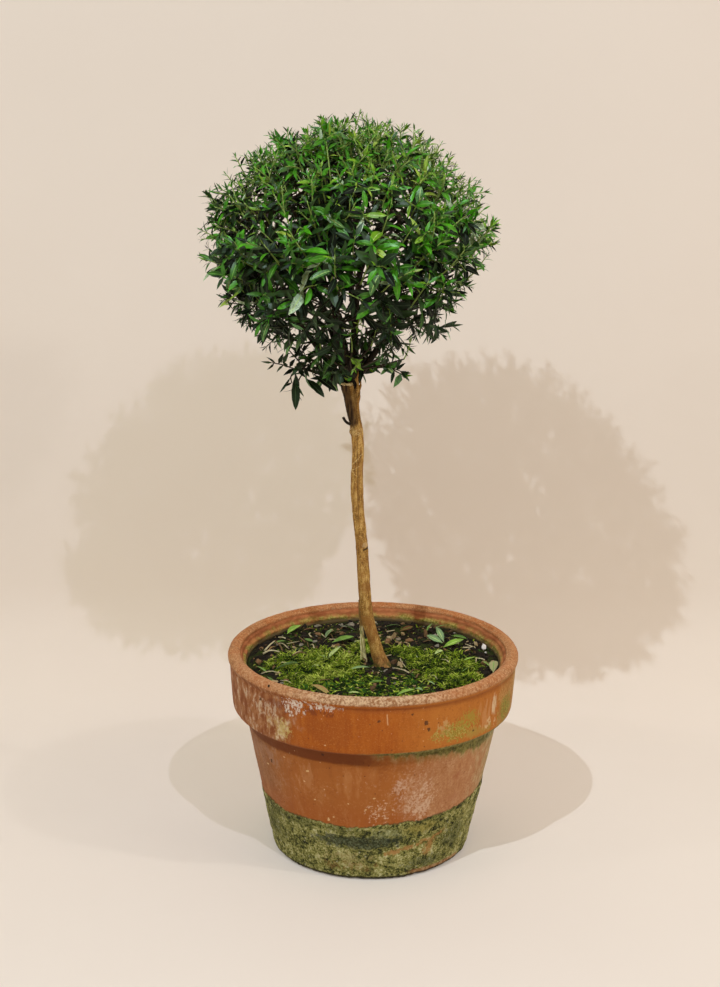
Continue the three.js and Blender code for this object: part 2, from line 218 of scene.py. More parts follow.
# ---------------------------------------------------------------------------------------------- materials
class Look:
    """One procedural material, built node by node. Lengths in the textures are in millimetres."""

    def __init__(self, name, rough=0.7, specular=0.5, sheen=None):
        self.mat = bpy.data.materials.new(name)
        self.mat.use_nodes = True
        self.nt = self.mat.node_tree
        self.nt.nodes.clear()
        self.out = self.nt.nodes.new("ShaderNodeOutputMaterial")
        self.bsdf = self.nt.nodes.new("ShaderNodeBsdfPrincipled")
        self.nt.links.new(self.bsdf.outputs[0], self.out.inputs[0])
        self.co = self.nt.nodes.new("ShaderNodeTexCoord").outputs["Object"]
        self.bsdf.inputs["Roughness"].default_value = rough
        self.bsdf.inputs["Specular IOR Level"].default_value = specular
        if sheen:
            self.bsdf.inputs["Sheen Weight"].default_value = sheen
        self._xyz = None

    def put(self, socket, value):
        if isinstance(value, bpy.types.NodeSocket):
            self.nt.links.new(value, socket)
        elif hasattr(socket.default_value, "__len__"):
            n = len(socket.default_value)
            value = (value,) * 3 if np.isscalar(value) else tuple(value)
            socket.default_value = value + (1.0,) * (n - len(value))
        else:
            socket.default_value = value

    def node(self, kind, **settings):
        n = self.nt.nodes.new(kind)
        for k, v in settings.items():
            setattr(n, k, v)
        return n

    def math(self, op, a, b=0.0, c=0.0, clamp=False):
        n = self.node("ShaderNodeMath", operation=op, use_clamp=clamp)
        self.put(n.inputs[0], a)
        self.put(n.inputs[1], b)
        if len(n.inputs) > 2:
            self.put(n.inputs[2], c)
        return n.outputs[0]

    def add(self, a, b):
        return self.math("ADD", a, b)

    def sub(self, a, b):
        return self.math("SUBTRACT", a, b)

    def mul(self, a, b):
        return self.math("MULTIPLY", a, b)

    def lim(self, a):
        return self.math("ADD", a, 0.0, clamp=True)

    def xyz(self):
        if self._xyz is None:
            n = self.node("ShaderNodeSeparateXYZ")
            self.put(n.inputs[0], self.co)
            self._xyz = [self.math("MULTIPLY", n.outputs[k], 1 / MM) for k in range(3)]
        return self._xyz

    def place(self, scale=(1, 1, 1), move=(0, 0, 0), turn=(0, 0, 0)):
        n = self.node("ShaderNodeMapping")
        self.put(n.inputs["Vector"], self.co)
        n.inputs["Scale"].default_value = scale
        n.inputs["Location"].default_value = move
        n.inputs["Rotation"].default_value = turn
        return n.outputs[0]

    def noise(self, size, detail=4.0, rough=0.55, warp=0.0, vec=None):
        n = self.node("ShaderNodeTexNoise")
        self.put(n.inputs["Vector"], self.co if vec is None else vec)
        n.inputs["Scale"].default_value = 1 / (size * MM)
        n.inputs["Detail"].default_value = detail
        n.inputs["Roughness"].default_value = rough
        n.inputs["Distortion"].default_value = warp
        return n.outputs["Fac"] if "Fac" in n.outputs else n.outputs[0]

    def cells(self, size, feature="F1", vec=None, random=1.0, out="Distance"):
        n = self.node("ShaderNodeTexVoronoi", feature=feature)
        self.put(n.inputs["Vector"], self.co if vec is None else vec)
        n.inputs["Scale"].default_value = 1 / (size * MM)
        n.inputs["Randomness"].default_value = random
        return n.outputs[out]

    def step(self, x, lo, hi):
        """0 below lo, 1 above hi, smooth between. lo above hi turns it round."""
        n = self.node("ShaderNodeMapRange", interpolation_type="SMOOTHSTEP", clamp=True)
        self.put(n.inputs["Value"], x)
        a, b, c, d = (lo, hi, 0.0, 1.0) if lo < hi else (hi, lo, 1.0, 0.0)
        self.put(n.inputs["From Min"], a)
        self.put(n.inputs["From Max"], b)
        self.put(n.inputs["To Min"], c)
        self.put(n.inputs["To Max"], d)
        return n.outputs["Result"]

    def hill(self, x, centre, half, soft):
        """1 within half of centre, falling to 0 over soft."""
        return self.step(self.math("ABSOLUTE", self.sub(x, centre)), half + soft, half)

    def mix(self, fac, a, b, how="MIX"):
        n = self.node("ShaderNodeMix", data_type="RGBA", blend_type=how)
        self.put(n.inputs["Factor"], fac)
        self.put(n.inputs[6], a)
        self.put(n.inputs[7], b)
        return n.outputs[2]

    def ramp(self, fac, *stops):
        n = self.node("ShaderNodeValToRGB")
        self.put(n.inputs[0], fac)
        e = n.color_ramp.elements
        while len(e) < len(stops):
            e.new(0.5)
        for k, (at, colour) in enumerate(stops):
            e[k].position = at
            e[k].color = tuple(colour) + (1.0,)
        return n.outputs[0]

    def colour(self, value):
        self.put(self.bsdf.inputs["Base Color"], value)

    def rough(self, value):
        self.put(self.bsdf.inputs["Roughness"], value)

    def bump(self, height, distance, strength=1.0, after=None):
        """height from 0 to 1, standing distance millimetres."""
        n = self.node("ShaderNodeBump")
        n.inputs["Strength"].default_value = strength
        n.inputs["Distance"].default_value = distance * MM
        self.put(n.inputs["Height"], height)
        if after is not None:
            self.put(n.inputs["Normal"], after)
        self.put(self.bsdf.inputs["Normal"], n.outputs[0])
        return n.outputs[0]


def srgb(r, g, b):
    """A colour as the eye reads it, 0 to 255, as the shader wants it."""
    out = []
    for c in (r, g, b):
        c /= 255
        out.append(c / 12.92 if c <= 0.04045 else ((c + 0.055) / 1.055) ** 2.4)
    return tuple(out)


# ---------------------------------------------------------------------------------------------- camera and lights
scene.view_settings.view_transform = "Standard"
scene.view_settings.look = "None"
scene.view_settings.exposure = 0.0
scene.view_settings.gamma = 1.0

cam_data = bpy.data.cameras.new("camera")
cam_data.sensor_width = 36.0
cam_data.lens = 36.0 * 1800 / 987
cam_data.clip_start = 0.05
cam_data.clip_end = 20
camera = bpy.data.objects.new("camera", cam_data)
camera.location = (-0.0089, -1.231, 0.596)
camera.rotation_mode = "QUATERNION"
tilt = Matrix.Rotation(math.pi / 2 - 0.2633, 4, "X")
roll = Matrix.Rotation(0.006, 4, "Z")
camera.rotation_quaternion = (tilt @ roll).to_quaternion()
scene.collection.objects.link(camera)
scene.camera = camera


def lamp(name, at, aim, size, watts, colour=(1, 1, 1)):
    data = bpy.data.lights.new(name, "AREA")
    data.shape = "DISK"
    data.size = size
    data.energy = watts
    data.color = colour
    ob = bpy.data.objects.new(name, data)
    ob.location = at
    ob.rotation_mode = "QUATERNION"
    ob.rotation_quaternion = (Vector(aim) - Vector(at)).to_track_quat("-Z", "Y")
    scene.collection.objects.link(ob)
    return ob


AIM = (0, 0, 0.3)
lamp("key_left", (-0.500, -0.944, 1.359), AIM, 0.014, 7.9, (1.00, 1.15, 1.30))
lamp("key_right", (0.465, -1.219, 1.553), AIM, 0.016, 6.4, (1.04, 1.08, 1.38))
lamp("side_right", (0.883, -0.510, 0.923), AIM, 0.018, 1.85, (1.0, 0.98, 0.97))
lamp("side_left", (-1.20, -0.64, 1.06), AIM, 0.022, 1.1, (1.0, 0.98, 0.97))
lamp("right_soft", (1.9, -1.0, 1.6), AIM, 1.0, 7.5, (0.98, 0.88, 0.70))
lamp("overhead", (0.0, -0.25, 1.7), (0, 0, 0), 0.9, 2.2, (0.98, 0.86, 0.64))

world = bpy.data.worlds.new("room")
scene.world = world
world.use_nodes = True
world.node_tree.nodes["Background"].inputs[0].default_value = (0.98, 0.75, 0.43, 1)
world.node_tree.nodes["Background"].inputs[1].default_value = 0.30

# ---------------------------------------------------------------------------------------------- floor and backdrop
WALL_Y = 288.0  # millimetres behind the pot's axis
WALL_TOP = 900.0
SWEEP = 102.0


def paper(name, one_sided):
    k = Look(name, rough=0.9, specular=0.2)
    x, y, z = k.xyz()
    # painted shade: the paper darkens with height, from 0.90 of its colour on the floor to 0.76 at the top of the wall
    tone = k.ramp(k.mul(z, 0.001), *[(h / 1000, (g,) * 3) for h, g in ((0, 0.90), (60, 0.90), (160, 0.86), (320, 0.85), (520, 0.81), (900, 0.76))])
    k.colour(k.mix(1.0, k.mix(k.noise(160, 3), srgb(227, 217, 207), srgb(231, 222, 212)), tone, "MULTIPLY"))
    k.bump(k.noise(1.5, 3), 0.05, 0.3)
    # painted light: where the floor lies near the pot, the paper glows more strongly than elsewhere
    low = k.mul(k.step(z, 60, 8), k.step(y, 280, 170))
    k.put(k.bsdf.inputs["Emission Color"], k.mix(low, (0.98, 0.78, 0.50, 1), (0.90, 0.84, 0.72, 1)))  # painted glow: the paper emits light of its own, standing in for light that finds its way into the shadows
    k.put(k.bsdf.inputs["Emission Strength"], k.math("MULTIPLY_ADD", low, 0.045, 0.115))
    if one_sided:
        # From behind, the paper doesn't hide the plant: the light path is only asked whether the eye sees its back.
        path = k.node("ShaderNodeLightPath").outputs["Is Camera Ray"]
        back = k.node("ShaderNodeNewGeometry").outputs["Backfacing"]
        clear = k.node("ShaderNodeBsdfTransparent")
        mixer = k.node("ShaderNodeMixShader")
        k.put(mixer.inputs[0], k.mul(path, back))
        k.nt.links.new(k.bsdf.outputs[0], mixer.inputs[1])
        k.nt.links.new(clear.outputs[0], mixer.inputs[2])
        k.nt.links.new(mixer.outputs[0], k.out.inputs[0])
    return k.mat


floor = Bag()
floor.add(
    [(-4000, -3000, -0.4), (4000, -3000, -0.4), (4000, 3000, -0.4), (-4000, 3000, -0.4)],
    quad=[(0, 1, 2, 3)],
)
floor_ob = floor.make("floor", [paper("floor_paper", False)])
wall = Bag()
rows = [(WALL_Y - SWEEP - 40, -0.1)]
for q in np.linspace(0, math.pi / 2, 17):
    rows.append((WALL_Y - SWEEP * (1 - math.sin(q)), SWEEP * (1 - math.cos(q))))
rows.append((WALL_Y, WALL_TOP))
rows = np.array(rows)
v = np.vstack([np.c_[np.full(len(rows), x), rows] for x in (-1500.0, 1500.0)])
n = len(rows)
wall.add(v, quad=[(i, n + i, n + i + 1, i + 1) for i in range(n - 1)])
wall_ob = wall.make("backdrop", [paper("backdrop_paper", True)])
wall_ob.visible_shadow = False

# ---------------------------------------------------------------------------------------------- pot
TURN = 360
RIM_SHIFT = 1.3 / 149.5  # the pot leans this much to the right for each millimetre of height
CLAY = (  # outline of the pot, from the foot up the outside, over the lip and down the inside
    [(66.4, 0.0), (68.6, 0.1), (70.4, 0.9), (71.5, 2.6), (72.3, 6.5), (75.2, 20), (78.4, 36)]
    + [(82, 53), (85.8, 71), (89.4, 89), (92.1, 103.4), (92.6, 105.2), (93.5, 106.1), (95.2, 106.3)]
    + [(98.0, 106.4), (99.9, 107.1), (101.1, 108.7), (101.6, 111.2), (102.5, 124), (103.4, 137.6)]
    + [(103.5, 139.6), (103.1, 140.8), (103.5, 141.8), (104.5, 143.2), (105.0, 144.8), (104.7, 146.7)]
    + [(103.7, 148.3), (102.2, 149.2), (100.3, 149.6), (98.6, 149.4), (97.2, 148.3), (96.2, 146.6)]
    + [(95.1, 144.4), (93.6, 142.6), (92.4, 140.9), (91.6, 138), (89.8, 128.5), (84.3, 106)]
    + [(73.6, 60), (63, 14.5), (61.2, 10.8), (58.5, 9.5)]
)
CRUST = [(-180, 46), (-140, 50), (-100, 45), (-75, 46), (-62, 47), (-50, 44), (-33, 45), (-12, 43.8)]
CRUST += [(8, 47), (30, 48.3), (49, 50), (73, 54), (110, 50), (150, 44), (180, 46)]
DRAINS = [(34 * math.cos(math.radians(q)), 34 * math.sin(math.radians(q))) for q in (90, 210, 330)]


def degrees_round(x, y):
    return np.degrees(np.arctan2(x, -y))


def pot_mesh():
    p2 = spline([(r, 0, z) for r, z in CLAY], 2600)[:, [0, 2]]
    gap = np.linalg.norm(np.diff(p2, axis=0), axis=1)
    z = p2[:-1, 1]
    inside = np.arange(len(z)) > np.argmax(p2[:, 1])
    want = np.where(inside & (z < 136), 9.0, np.where(z > 104, 0.72, 0.98))
    along = np.concatenate([[0], np.cumsum(gap / want)])
    rows = int(round(along[-1]))
    s = np.linspace(0, along[-1], rows + 1)
    r, h = np.interp(s, along, p2[:, 0]), np.interp(s, along, p2[:, 1])
    t = unit(np.c_[np.gradient(r), np.gradient(h)])
    nr, nz = t[:, 1], -t[:, 0]  # outward
    inner = s > s[np.argmax(h)]
    a = np.arange(TURN) / TURN * 2 * math.pi - math.pi
    A, R = np.meshgrid(a, r)
    H = np.broadcast_to(h[:, None], A.shape)
    x, y = R * np.sin(A), -R * np.cos(A)
    q = np.stack([x, y, H], axis=-1).reshape(-1, 3)
    deg = np.degrees(A).ravel()
    z = q[:, 2]
    out = ~np.repeat(inner, TURN)
    push = 0.30 * fbm(q / 34, 3, 3) + 0.10 * fbm(q / 7, 5, 3)
    edge = np.interp(deg, *zip(*CRUST)) + 1.0 * fbm(q / 5, 11, 3)
    crust = smooth(z, edge + 0.25, edge - 0.55) * out
    push += crust * (0.45 + 0.55 * fbm(q / 3.0, 21, 4) + 0.35 * fbm(q / 8, 23, 2))
    worn = smooth(z, 6.4, 4.6) * smooth(np.abs(deg - 45 + 4 * vnoise(q / 6, 2)), 24, 19) * out
    push -= worn * 0.45
    lime = smooth(np.abs(deg + 24), 14, 9) * smooth(np.abs(z - 138.5), 6, 3) * out
    push += lime * 0.35 * np.clip(fbm(q / 2.6, 31, 3) + 0.15, 0, 1)
    low = smooth(np.abs(z - 108.4), 2.6, 1.2) * out  # the collar's lower edge, a little eaten away
    push -= low * 0.75 * np.clip(fbm(q / 6.5, 41, 3) - 0.05, 0, 1)
    lip = smooth(z, 144.4, 146.2)
    push += lip * (0.16 * fbm(q / 2.4, 51, 3) - 0.35 * np.clip(fbm(q / 8, 53, 2) - 0.22, 0, 1))
    ridge = ~out & (z > 136)
    push += ridge * 0.35 * np.sin(z * 2.1 + 1.2 * vnoise(q / 20, 61))
    for at, up, wide, deep in ((-44, 147.2, 1.5, 1.5), (20.6, 129, 1.3, 0.5), (21.6, 124, 1.0, 0.4)):
        d = np.hypot((deg - at) * 1.8, z - up)
        push -= deep * np.exp(-((d / wide) ** 2)) * out
    fixed = np.ones(len(s))
    fixed[0] = fixed[-1] = 0
    push = push * np.repeat(fixed, TURN)
    nrm = np.stack([np.repeat(nr, TURN) * np.sin(A).ravel(), -np.repeat(nr, TURN) * np.cos(A).ravel(), np.repeat(nz, TURN)], -1)
    v = q + nrm * push[:, None]
    v[:, 0] += RIM_SHIFT * q[:, 2]
    v[:, 2] = np.maximum(v[:, 2], 0.0)
    i = np.arange(len(s) - 1)[:, None] * TURN
    j = np.arange(TURN)[None]
    j2 = (j + 1) % TURN
    quad = np.stack([i + j, i + j2, i + TURN + j2, i + TURN + j], -1).reshape(-1, 4)
    bag = Bag()
    bag.add(v, quad=quad)

    def plate(ring, level, up):
        """The flat of the foot or of the floor, with its drain holes, joined to a ring of the wall."""
        from mathutils.geometry import delaunay_2d_cdt

        pts = [Vector((v[k, 0], v[k, 1])) for k in ring]
        ids = list(ring)
        edges = [(k, (k + 1) % TURN) for k in range(TURN)]
        holes = []
        for cx, cy in DRAINS:
            start = len(pts)
            wide = 6.2 + (0.5 if not up else 0.25)
            for k in range(28):
                w = k / 28 * 2 * math.pi
                pts.append(Vector((cx + wide * math.cos(w), cy + wide * math.sin(w))))
                edges.append((start + k, start + (k + 1) % 28))
            holes.append(start)
        for rr in (12, 22, 47, 56):
            for k in range(int(rr * 0.9)):
                w = (k + 0.37 * rr) / int(rr * 0.9) * 2 * math.pi
                c = Vector((rr * math.cos(w), rr * math.sin(w)))
                if all((c - Vector(d)).length > 9 for d in DRAINS):
                    pts.append(c)
        got = delaunay_2d_cdt(pts, edges, [], 0, 1e-6, True)
        co, faces = got[0], got[2]
        where = {}
        for new, olds in enumerate(got[3]):
            for o in olds:
                where[o] = new
        keep = []
        for f in faces:
            c = sum((co[k] for k in f), Vector((0, 0))) / len(f)
            if any((c - Vector(d)).length < 6.2 for d in DRAINS) or c.length > 70:
                continue
            keep.append(f if up else f[::-1])
        back = {new: old for old, new in where.items()}
        base = bag.n
        extra = [k for k in range(len(co)) if back.get(k, TURN) >= TURN]
        local = {k: base + n for n, k in enumerate(extra)}
        for k in range(len(co)):
            if k not in local:
                local[k] = ids[back[k]]
        bag.v.append(np.array([(co[k].x, co[k].y, level) for k in extra]))
        bag.n += len(extra)
        bag.tri.append(np.array([[local[k] for k in f] for f in keep], np.int64))
        bag.tm.append(np.zeros(len(keep), int))
        return [[local[where[st + k]] for k in range(28)] for st in holes]

    first = list(range(TURN))
    last = list(range((len(s) - 1) * TURN, len(s) * TURN))
    under = plate(first, v[0, 2], False)
    above = plate(last, v[-1, 2], True)
    walls = []
    for lo, hi in zip(under, above):
        for k in range(28):
            k2 = (k + 1) % 28
            walls.append((lo[k], hi[k], hi[k2], lo[k2]))
    bag.quad.append(np.array(walls, np.int64))
    bag.qm.append(np.zeros(len(walls), int))
    return bag


def clay():
    k = Look("weathered_clay", rough=0.86, specular=0.28)
    x, y, z = k.xyz()
    x = k.sub(x, k.mul(z, RIM_SHIFT))
    deg = k.mul(k.math("ARCTAN2", x, k.mul(y, -1.0)), 57.29578)
    rad = k.math("SQRT", k.add(k.mul(x, x), k.mul(y, y)))
    wob = k.sub(k.noise(7, 4), 0.5)
    fine = k.sub(k.noise(2.2, 4), 0.5)
    wide = k.noise(26, 4)
    streak = k.noise(3.4, 5, 0.62, vec=k.place(scale=(1, 1, 0.16)))
    streak2 = k.noise(7.5, 4, 0.6, vec=k.place(scale=(1, 1, 0.2), move=(0.3, 0.1, 0)))
    cloud = k.noise(6.0, 6, 0.66, vec=k.place(scale=(1, 1, 0.5), move=(0.05, 0.02, 0)))
    tuft = k.noise(3.0, 5, 0.68, vec=k.place(scale=(1, 1, 0.6), move=(0.13, 0.07, 0)))
    grain = k.noise(0.9, 3, 0.6)
    speck = k.noise(1.7, 3, 0.65)
    deg_w = k.add(deg, k.mul(wob, 14))
    z_w = k.add(z, k.mul(wob, 8))
    inside = k.mul(k.step(rad, 98.0, 97.2), k.step(z, 104, 106))
    outside = k.sub(1.0, inside)
    band = k.mul(k.step(z, 107.6, 108.4), outside)

    def patch(at, up, a, b, n, gain=2.6, lo=0.22, hi=0.62):
        """A ragged cloud round one place: a degrees wide each way, b mm high each way."""
        dx, dz = k.mul(k.sub(deg, at), 1 / a), k.mul(k.sub(z, up), 1 / b)
        w = k.math("MAXIMUM", k.sub(1.0, k.add(k.mul(dx, dx), k.mul(dz, dz))), -1.5)
        return k.step(k.add(k.mul(w, 0.55), k.mul(k.sub(n, 0.5), gain)), lo, hi)

    def lay(base, mask, amount, colour):
        return k.mix(k.mul(mask, amount), base, colour)

    round_back = k.math("ABSOLUTE", deg)
    left_ends, right_ends = k.step(deg_w, -166, -128), k.step(deg_w, 166, 128)
    # the body's own clay, orange in front, chalkier to the right and behind
    body = k.mix(wide, srgb(157, 88, 33), srgb(168, 101, 41))
    body = lay(body, k.mul(k.step(deg_w, -36, -64), left_ends), 0.85, srgb(147, 102, 66))
    left_side = k.mul(k.step(deg_w, -30, -56), left_ends)
    body = lay(body, k.mul(left_side, k.step(k.add(k.mul(cloud, 0.5), k.mul(speck, 0.5)), 0.50, 0.62)), 0.42, srgb(176, 136, 104))
    body = lay(body, k.mul(left_side, k.step(k.add(k.mul(cloud, 0.5), k.mul(speck, 0.5)), 0.47, 0.37)), 0.42, srgb(116, 70, 42))
    body = lay(body, k.step(z_w, 66, 50), 0.5, srgb(158, 84, 30))
    body = lay(body, k.step(streak2, 0.52, 0.72), 0.35, srgb(186, 130, 80))
    body = lay(body, k.step(streak2, 0.46, 0.30), 0.25, srgb(134, 72, 30))
    chalk = k.mul(k.step(k.add(deg_w, k.mul(k.sub(streak2, 0.5), 40)), 8, 34), k.step(deg_w, 112, 84))
    chalk = k.mul(chalk, k.step(z_w, 104, 92))
    body = lay(body, chalk, 0.75, k.mix(cloud, srgb(166, 112, 72), srgb(190, 146, 104)))
    body = lay(body, k.mul(chalk, k.step(k.add(k.mul(cloud, 0.4), k.mul(speck, 0.6)), 0.50, 0.62)), 0.40, srgb(206, 164, 124))
    body = lay(body, k.mul(chalk, k.step(k.add(k.mul(cloud, 0.4), k.mul(speck, 0.6)), 0.47, 0.37)), 0.36, srgb(148, 88, 52))
    behind = k.mul(k.step(round_back, 84, 118), k.step(k.noise(34, 4), 0.44, 0.6))
    body = lay(body, behind, 0.6, srgb(172, 124, 88))
    body = lay(body, patch(-31, 80, 7, 16, streak), 0.35, srgb(196, 140, 92))
    body = lay(body, patch(-10, 80, 8, 17, streak2), 0.40, srgb(190, 130, 76))
    body = lay(body, patch(-62, 86, 22, 12, cloud), 0.45, srgb(160, 122, 98))
    haze = k.add(k.mul(streak, 0.25), k.add(k.mul(tuft, 0.35), k.mul(speck, 0.4)))
    body = lay(body, k.mul(k.step(speck, 0.52, 0.66), k.step(k.noise(17, 3), 0.36, 0.60)), 0.34, srgb(190, 134, 82))
    body = lay(body, k.mul(k.step(speck, 0.46, 0.34), k.step(k.noise(15, 3), 0.40, 0.60)), 0.32, srgb(120, 64, 28))
    body = lay(body, patch(20, 70, 13, 26, haze, 3.2, 0.12, 0.80), 0.62, srgb(200, 162, 130))
    body = lay(body, patch(24, 62, 9, 22, haze, 4.2, 0.30, 0.75), 0.62, srgb(212, 180, 152))
    body = lay(body, patch(13, 74, 5, 13, haze, 3.4, 0.20, 0.75), 0.60, srgb(206, 172, 146))
    body = lay(body, patch(4, 57, 8, 12, haze, 6.0, 0.45, 0.90), 0.72, srgb(218, 186, 152))
    body = lay(body, patch(45, 66, 16, 22, cloud, 2.4, 0.3, 0.9), 0.35, srgb(196, 150, 112))
    body = lay(body, patch(43, 77, 3.6, 7, cloud), 0.6, srgb(156, 88, 54))
    body = lay(body, patch(41, 60, 9, 6, cloud), 0.4, srgb(160, 98, 60))
    dust = k.mul(k.step(k.noise(3.1, 5, 0.7), 0.58, 0.72), k.step(k.noise(22, 3), 0.42, 0.62))
    body = lay(body, dust, 0.45, srgb(204, 166, 130))
    # the collar
    collar = k.mix(k.step(streak, 0.3, 0.7), srgb(158, 79, 14), srgb(172, 93, 22))
    collar = lay(collar, patch(-17, 122, 14, 22, wide), 0.5, srgb(148, 74, 20))
    collar = lay(collar, k.mul(k.step(deg_w, 2, 30), right_ends), 0.6, srgb(190, 122, 48))
    collar = lay(collar, k.step(grain, 0.52, 0.68), 0.36, srgb(200, 132, 62))
    collar = lay(collar, k.mul(k.step(speck, 0.50, 0.36), k.step(cloud, 0.42, 0.60)), 0.40, srgb(132, 66, 18))
    washed = k.lim(k.add(k.mul(k.step(deg_w, -27, -42), left_ends), k.mul(k.step(round_back, 88, 120), k.step(k.noise(40, 3), 0.42, 0.6))))
    collar = lay(collar, washed, 0.92, k.mix(k.step(cloud, 0.38, 0.60), srgb(128, 70, 34), srgb(168, 116, 74)))
    collar = lay(collar, k.mul(washed, k.step(k.add(k.mul(cloud, 0.55), k.mul(tuft, 0.45)), 0.52, 0.61)), 0.75, srgb(202, 178, 150))
    collar = lay(collar, patch(-38, 136, 14, 8, tuft), 0.65, srgb(112, 50, 20))
    collar = lay(collar, patch(-40, 119, 9, 12, cloud, 3.0), 0.75, k.mix(k.step(tuft, 0.42, 0.58), srgb(176, 138, 84), srgb(214, 194, 162)))
    collar = lay(collar, patch(-37, 119, 4.5, 9, k.add(k.mul(tuft, 0.4), k.mul(speck, 0.6)), 4.6, 0.2, 0.6), 0.62, srgb(194, 174, 100))
    collar = lay(collar, patch(-24, 138, 12, 6, tuft), 0.75, srgb(116, 54, 22))
    collar = lay(collar, patch(-31.5, 137.5, 6, 7.5, k.add(k.mul(tuft, 0.72), k.mul(speck, 0.28)), 4.8, 0.20, 0.62), 0.88, srgb(220, 204, 184))
    collar = lay(collar, patch(-20, 141.0, 8, 3.4, k.add(k.mul(tuft, 0.72), k.mul(speck, 0.28)), 4.8, 0.22, 0.62), 0.86, srgb(220, 204, 184))
    collar = lay(collar, patch(-47, 130, 8, 8, tuft, 3.6), 0.6, srgb(206, 182, 152))
    collar = lay(collar, patch(29, 122, 5, 10, tuft, 3.2), 0.55, srgb(200, 166, 110))
    collar = lay(collar, patch(34, 119, 11.5, 8, k.add(k.mul(tuft, 0.45), k.mul(speck, 0.55)), 4.0, 0.05, 0.55), 0.84, k.mix(k.step(grain, 0.44, 0.6), srgb(134, 122, 34), srgb(178, 164, 80)))
    collar = lay(collar, patch(40, 126, 8, 7, k.add(k.mul(tuft, 0.45), k.mul(speck, 0.55)), 4.0, 0.1, 0.6), 0.72, srgb(154, 142, 50))
    collar = lay(collar, patch(46, 114, 14, 5, cloud, 3.0), 0.55, srgb(168, 146, 66))
    collar = lay(collar, patch(49, 126, 6, 14, streak), 0.45, srgb(202, 150, 98))
    collar = lay(collar, patch(52, 116, 6, 6, tuft, 3.6, 0.35, 0.7), 0.7, srgb(216, 190, 142))
    collar = lay(collar, patch(55.5, 129, 2.6, 11, k.add(k.mul(tuft, 0.5), k.mul(streak, 0.5)), 2.4, 0.1, 0.65), 0.85, srgb(220, 196, 158))
    side = k.mul(k.step(deg_w, 55, 62), k.step(deg_w, 112, 90))
    collar = lay(collar, side, 0.72, k.mix(k.step(k.add(k.mul(cloud, 0.5), k.mul(speck, 0.5)), 0.40, 0.58), srgb(150, 104, 40), srgb(190, 148, 86)))
    collar = lay(collar, patch(67, 119, 9, 13, k.add(k.mul(cloud, 0.5), k.mul(speck, 0.5)), 3.2, 0.1, 0.55), 0.82, k.mix(k.step(grain, 0.44, 0.6), srgb(104, 108, 22), srgb(156, 152, 60)))
    collar = lay(collar, patch(66, 139, 10, 5, cloud), 0.6, srgb(172, 108, 46))
    pale = k.mul(k.mul(k.step(deg_w, -6, 4), k.step(deg_w, 54, 44)), k.step(k.noise(2.3, 3, 0.7, vec=k.place(scale=(1, 1, 0.6))), 0.67, 0.74))
    collar = lay(collar, pale, 0.6, srgb(214, 168, 112))
    scratch = k.mul(k.hill(k.add(deg, k.add(k.mul(z, 0.05), k.mul(fine, 0.5))), 11.9, 0.10, 0.28), k.hill(z, 134.5, 3.2, 1.6))
    collar = lay(collar, scratch, 0.55, srgb(220, 180, 130))
    top = k.mul(k.step(z, 137.6, 141.2), k.step(z, 143.8, 141.8))
    collar = lay(collar, k.mul(top, k.step(deg_w, -22, -4)), 0.45, srgb(116, 56, 20))
    skin = k.mix(band, body, collar)
    # under the collar, green from the front round to the right, reaching lower the further it goes
    drop = k.add(z, k.add(k.mul(k.sub(streak2, 0.5), 9), k.mul(k.sub(cloud, 0.5), 12)))
    low = k.ramp(k.mul(deg, 0.01), (0.0, (0.97,) * 3), (0.08, (0.92,) * 3), (0.26, (0.74,) * 3), (0.46, (0.60,) * 3), (0.66, (0.48,) * 3), (0.95, (0.58,) * 3))
    low = k.math("MULTIPLY_ADD", low, 25.0, 79.0)
    under = k.mul(k.mul(k.step(z, 109.6, 108.2), k.step(deg_w, -6, 4)), k.mul(k.step(deg, 175, 140), outside))
    soft_green = k.mul(k.step(k.sub(drop, low), -5.0, 2.5), under)
    skin = lay(skin, soft_green, 0.55, k.mix(k.step(tuft, 0.4, 0.6), srgb(142, 124, 66), srgb(188, 168, 122)))
    wet = k.mul(k.step(k.sub(drop, low), 0.0, 3.2), under)
    wet = k.mul(wet, k.sub(1.0, k.mul(patch(25, 98.8, 4.6, 3.2, tuft), 0.9)))
    skin = lay(skin, wet, 0.88, k.mix(k.step(k.add(k.mul(speck, 0.5), k.mul(cloud, 0.5)), 0.40, 0.60), srgb(54, 62, 20), srgb(132, 128, 64)))
    # painted shadow: a dark red-brown band under the collar's left front, where the collar shades the body
    painted_collar_shadow = k.mul(k.mul(k.step(k.add(z, k.mul(wob, 2.5)), 94.4, 96.6), k.step(z, 109, 107)), k.mul(k.mul(k.step(deg_w, 8, -6), left_ends), outside))
    skin = lay(skin, painted_collar_shadow, 0.74, srgb(106, 50, 20))
    # a green bloom over the whole right side
    veil = k.mul(k.mul(k.step(k.sub(k.add(deg_w, k.mul(k.sub(cloud, 0.5), 46)), k.mul(band, 16.0)), 54, 76), k.step(deg_w, 132, 104)), outside)
    skin = lay(skin, veil, 0.66, k.mix(k.step(tuft, 0.40, 0.60), srgb(136, 126, 74), srgb(194, 180, 138)))
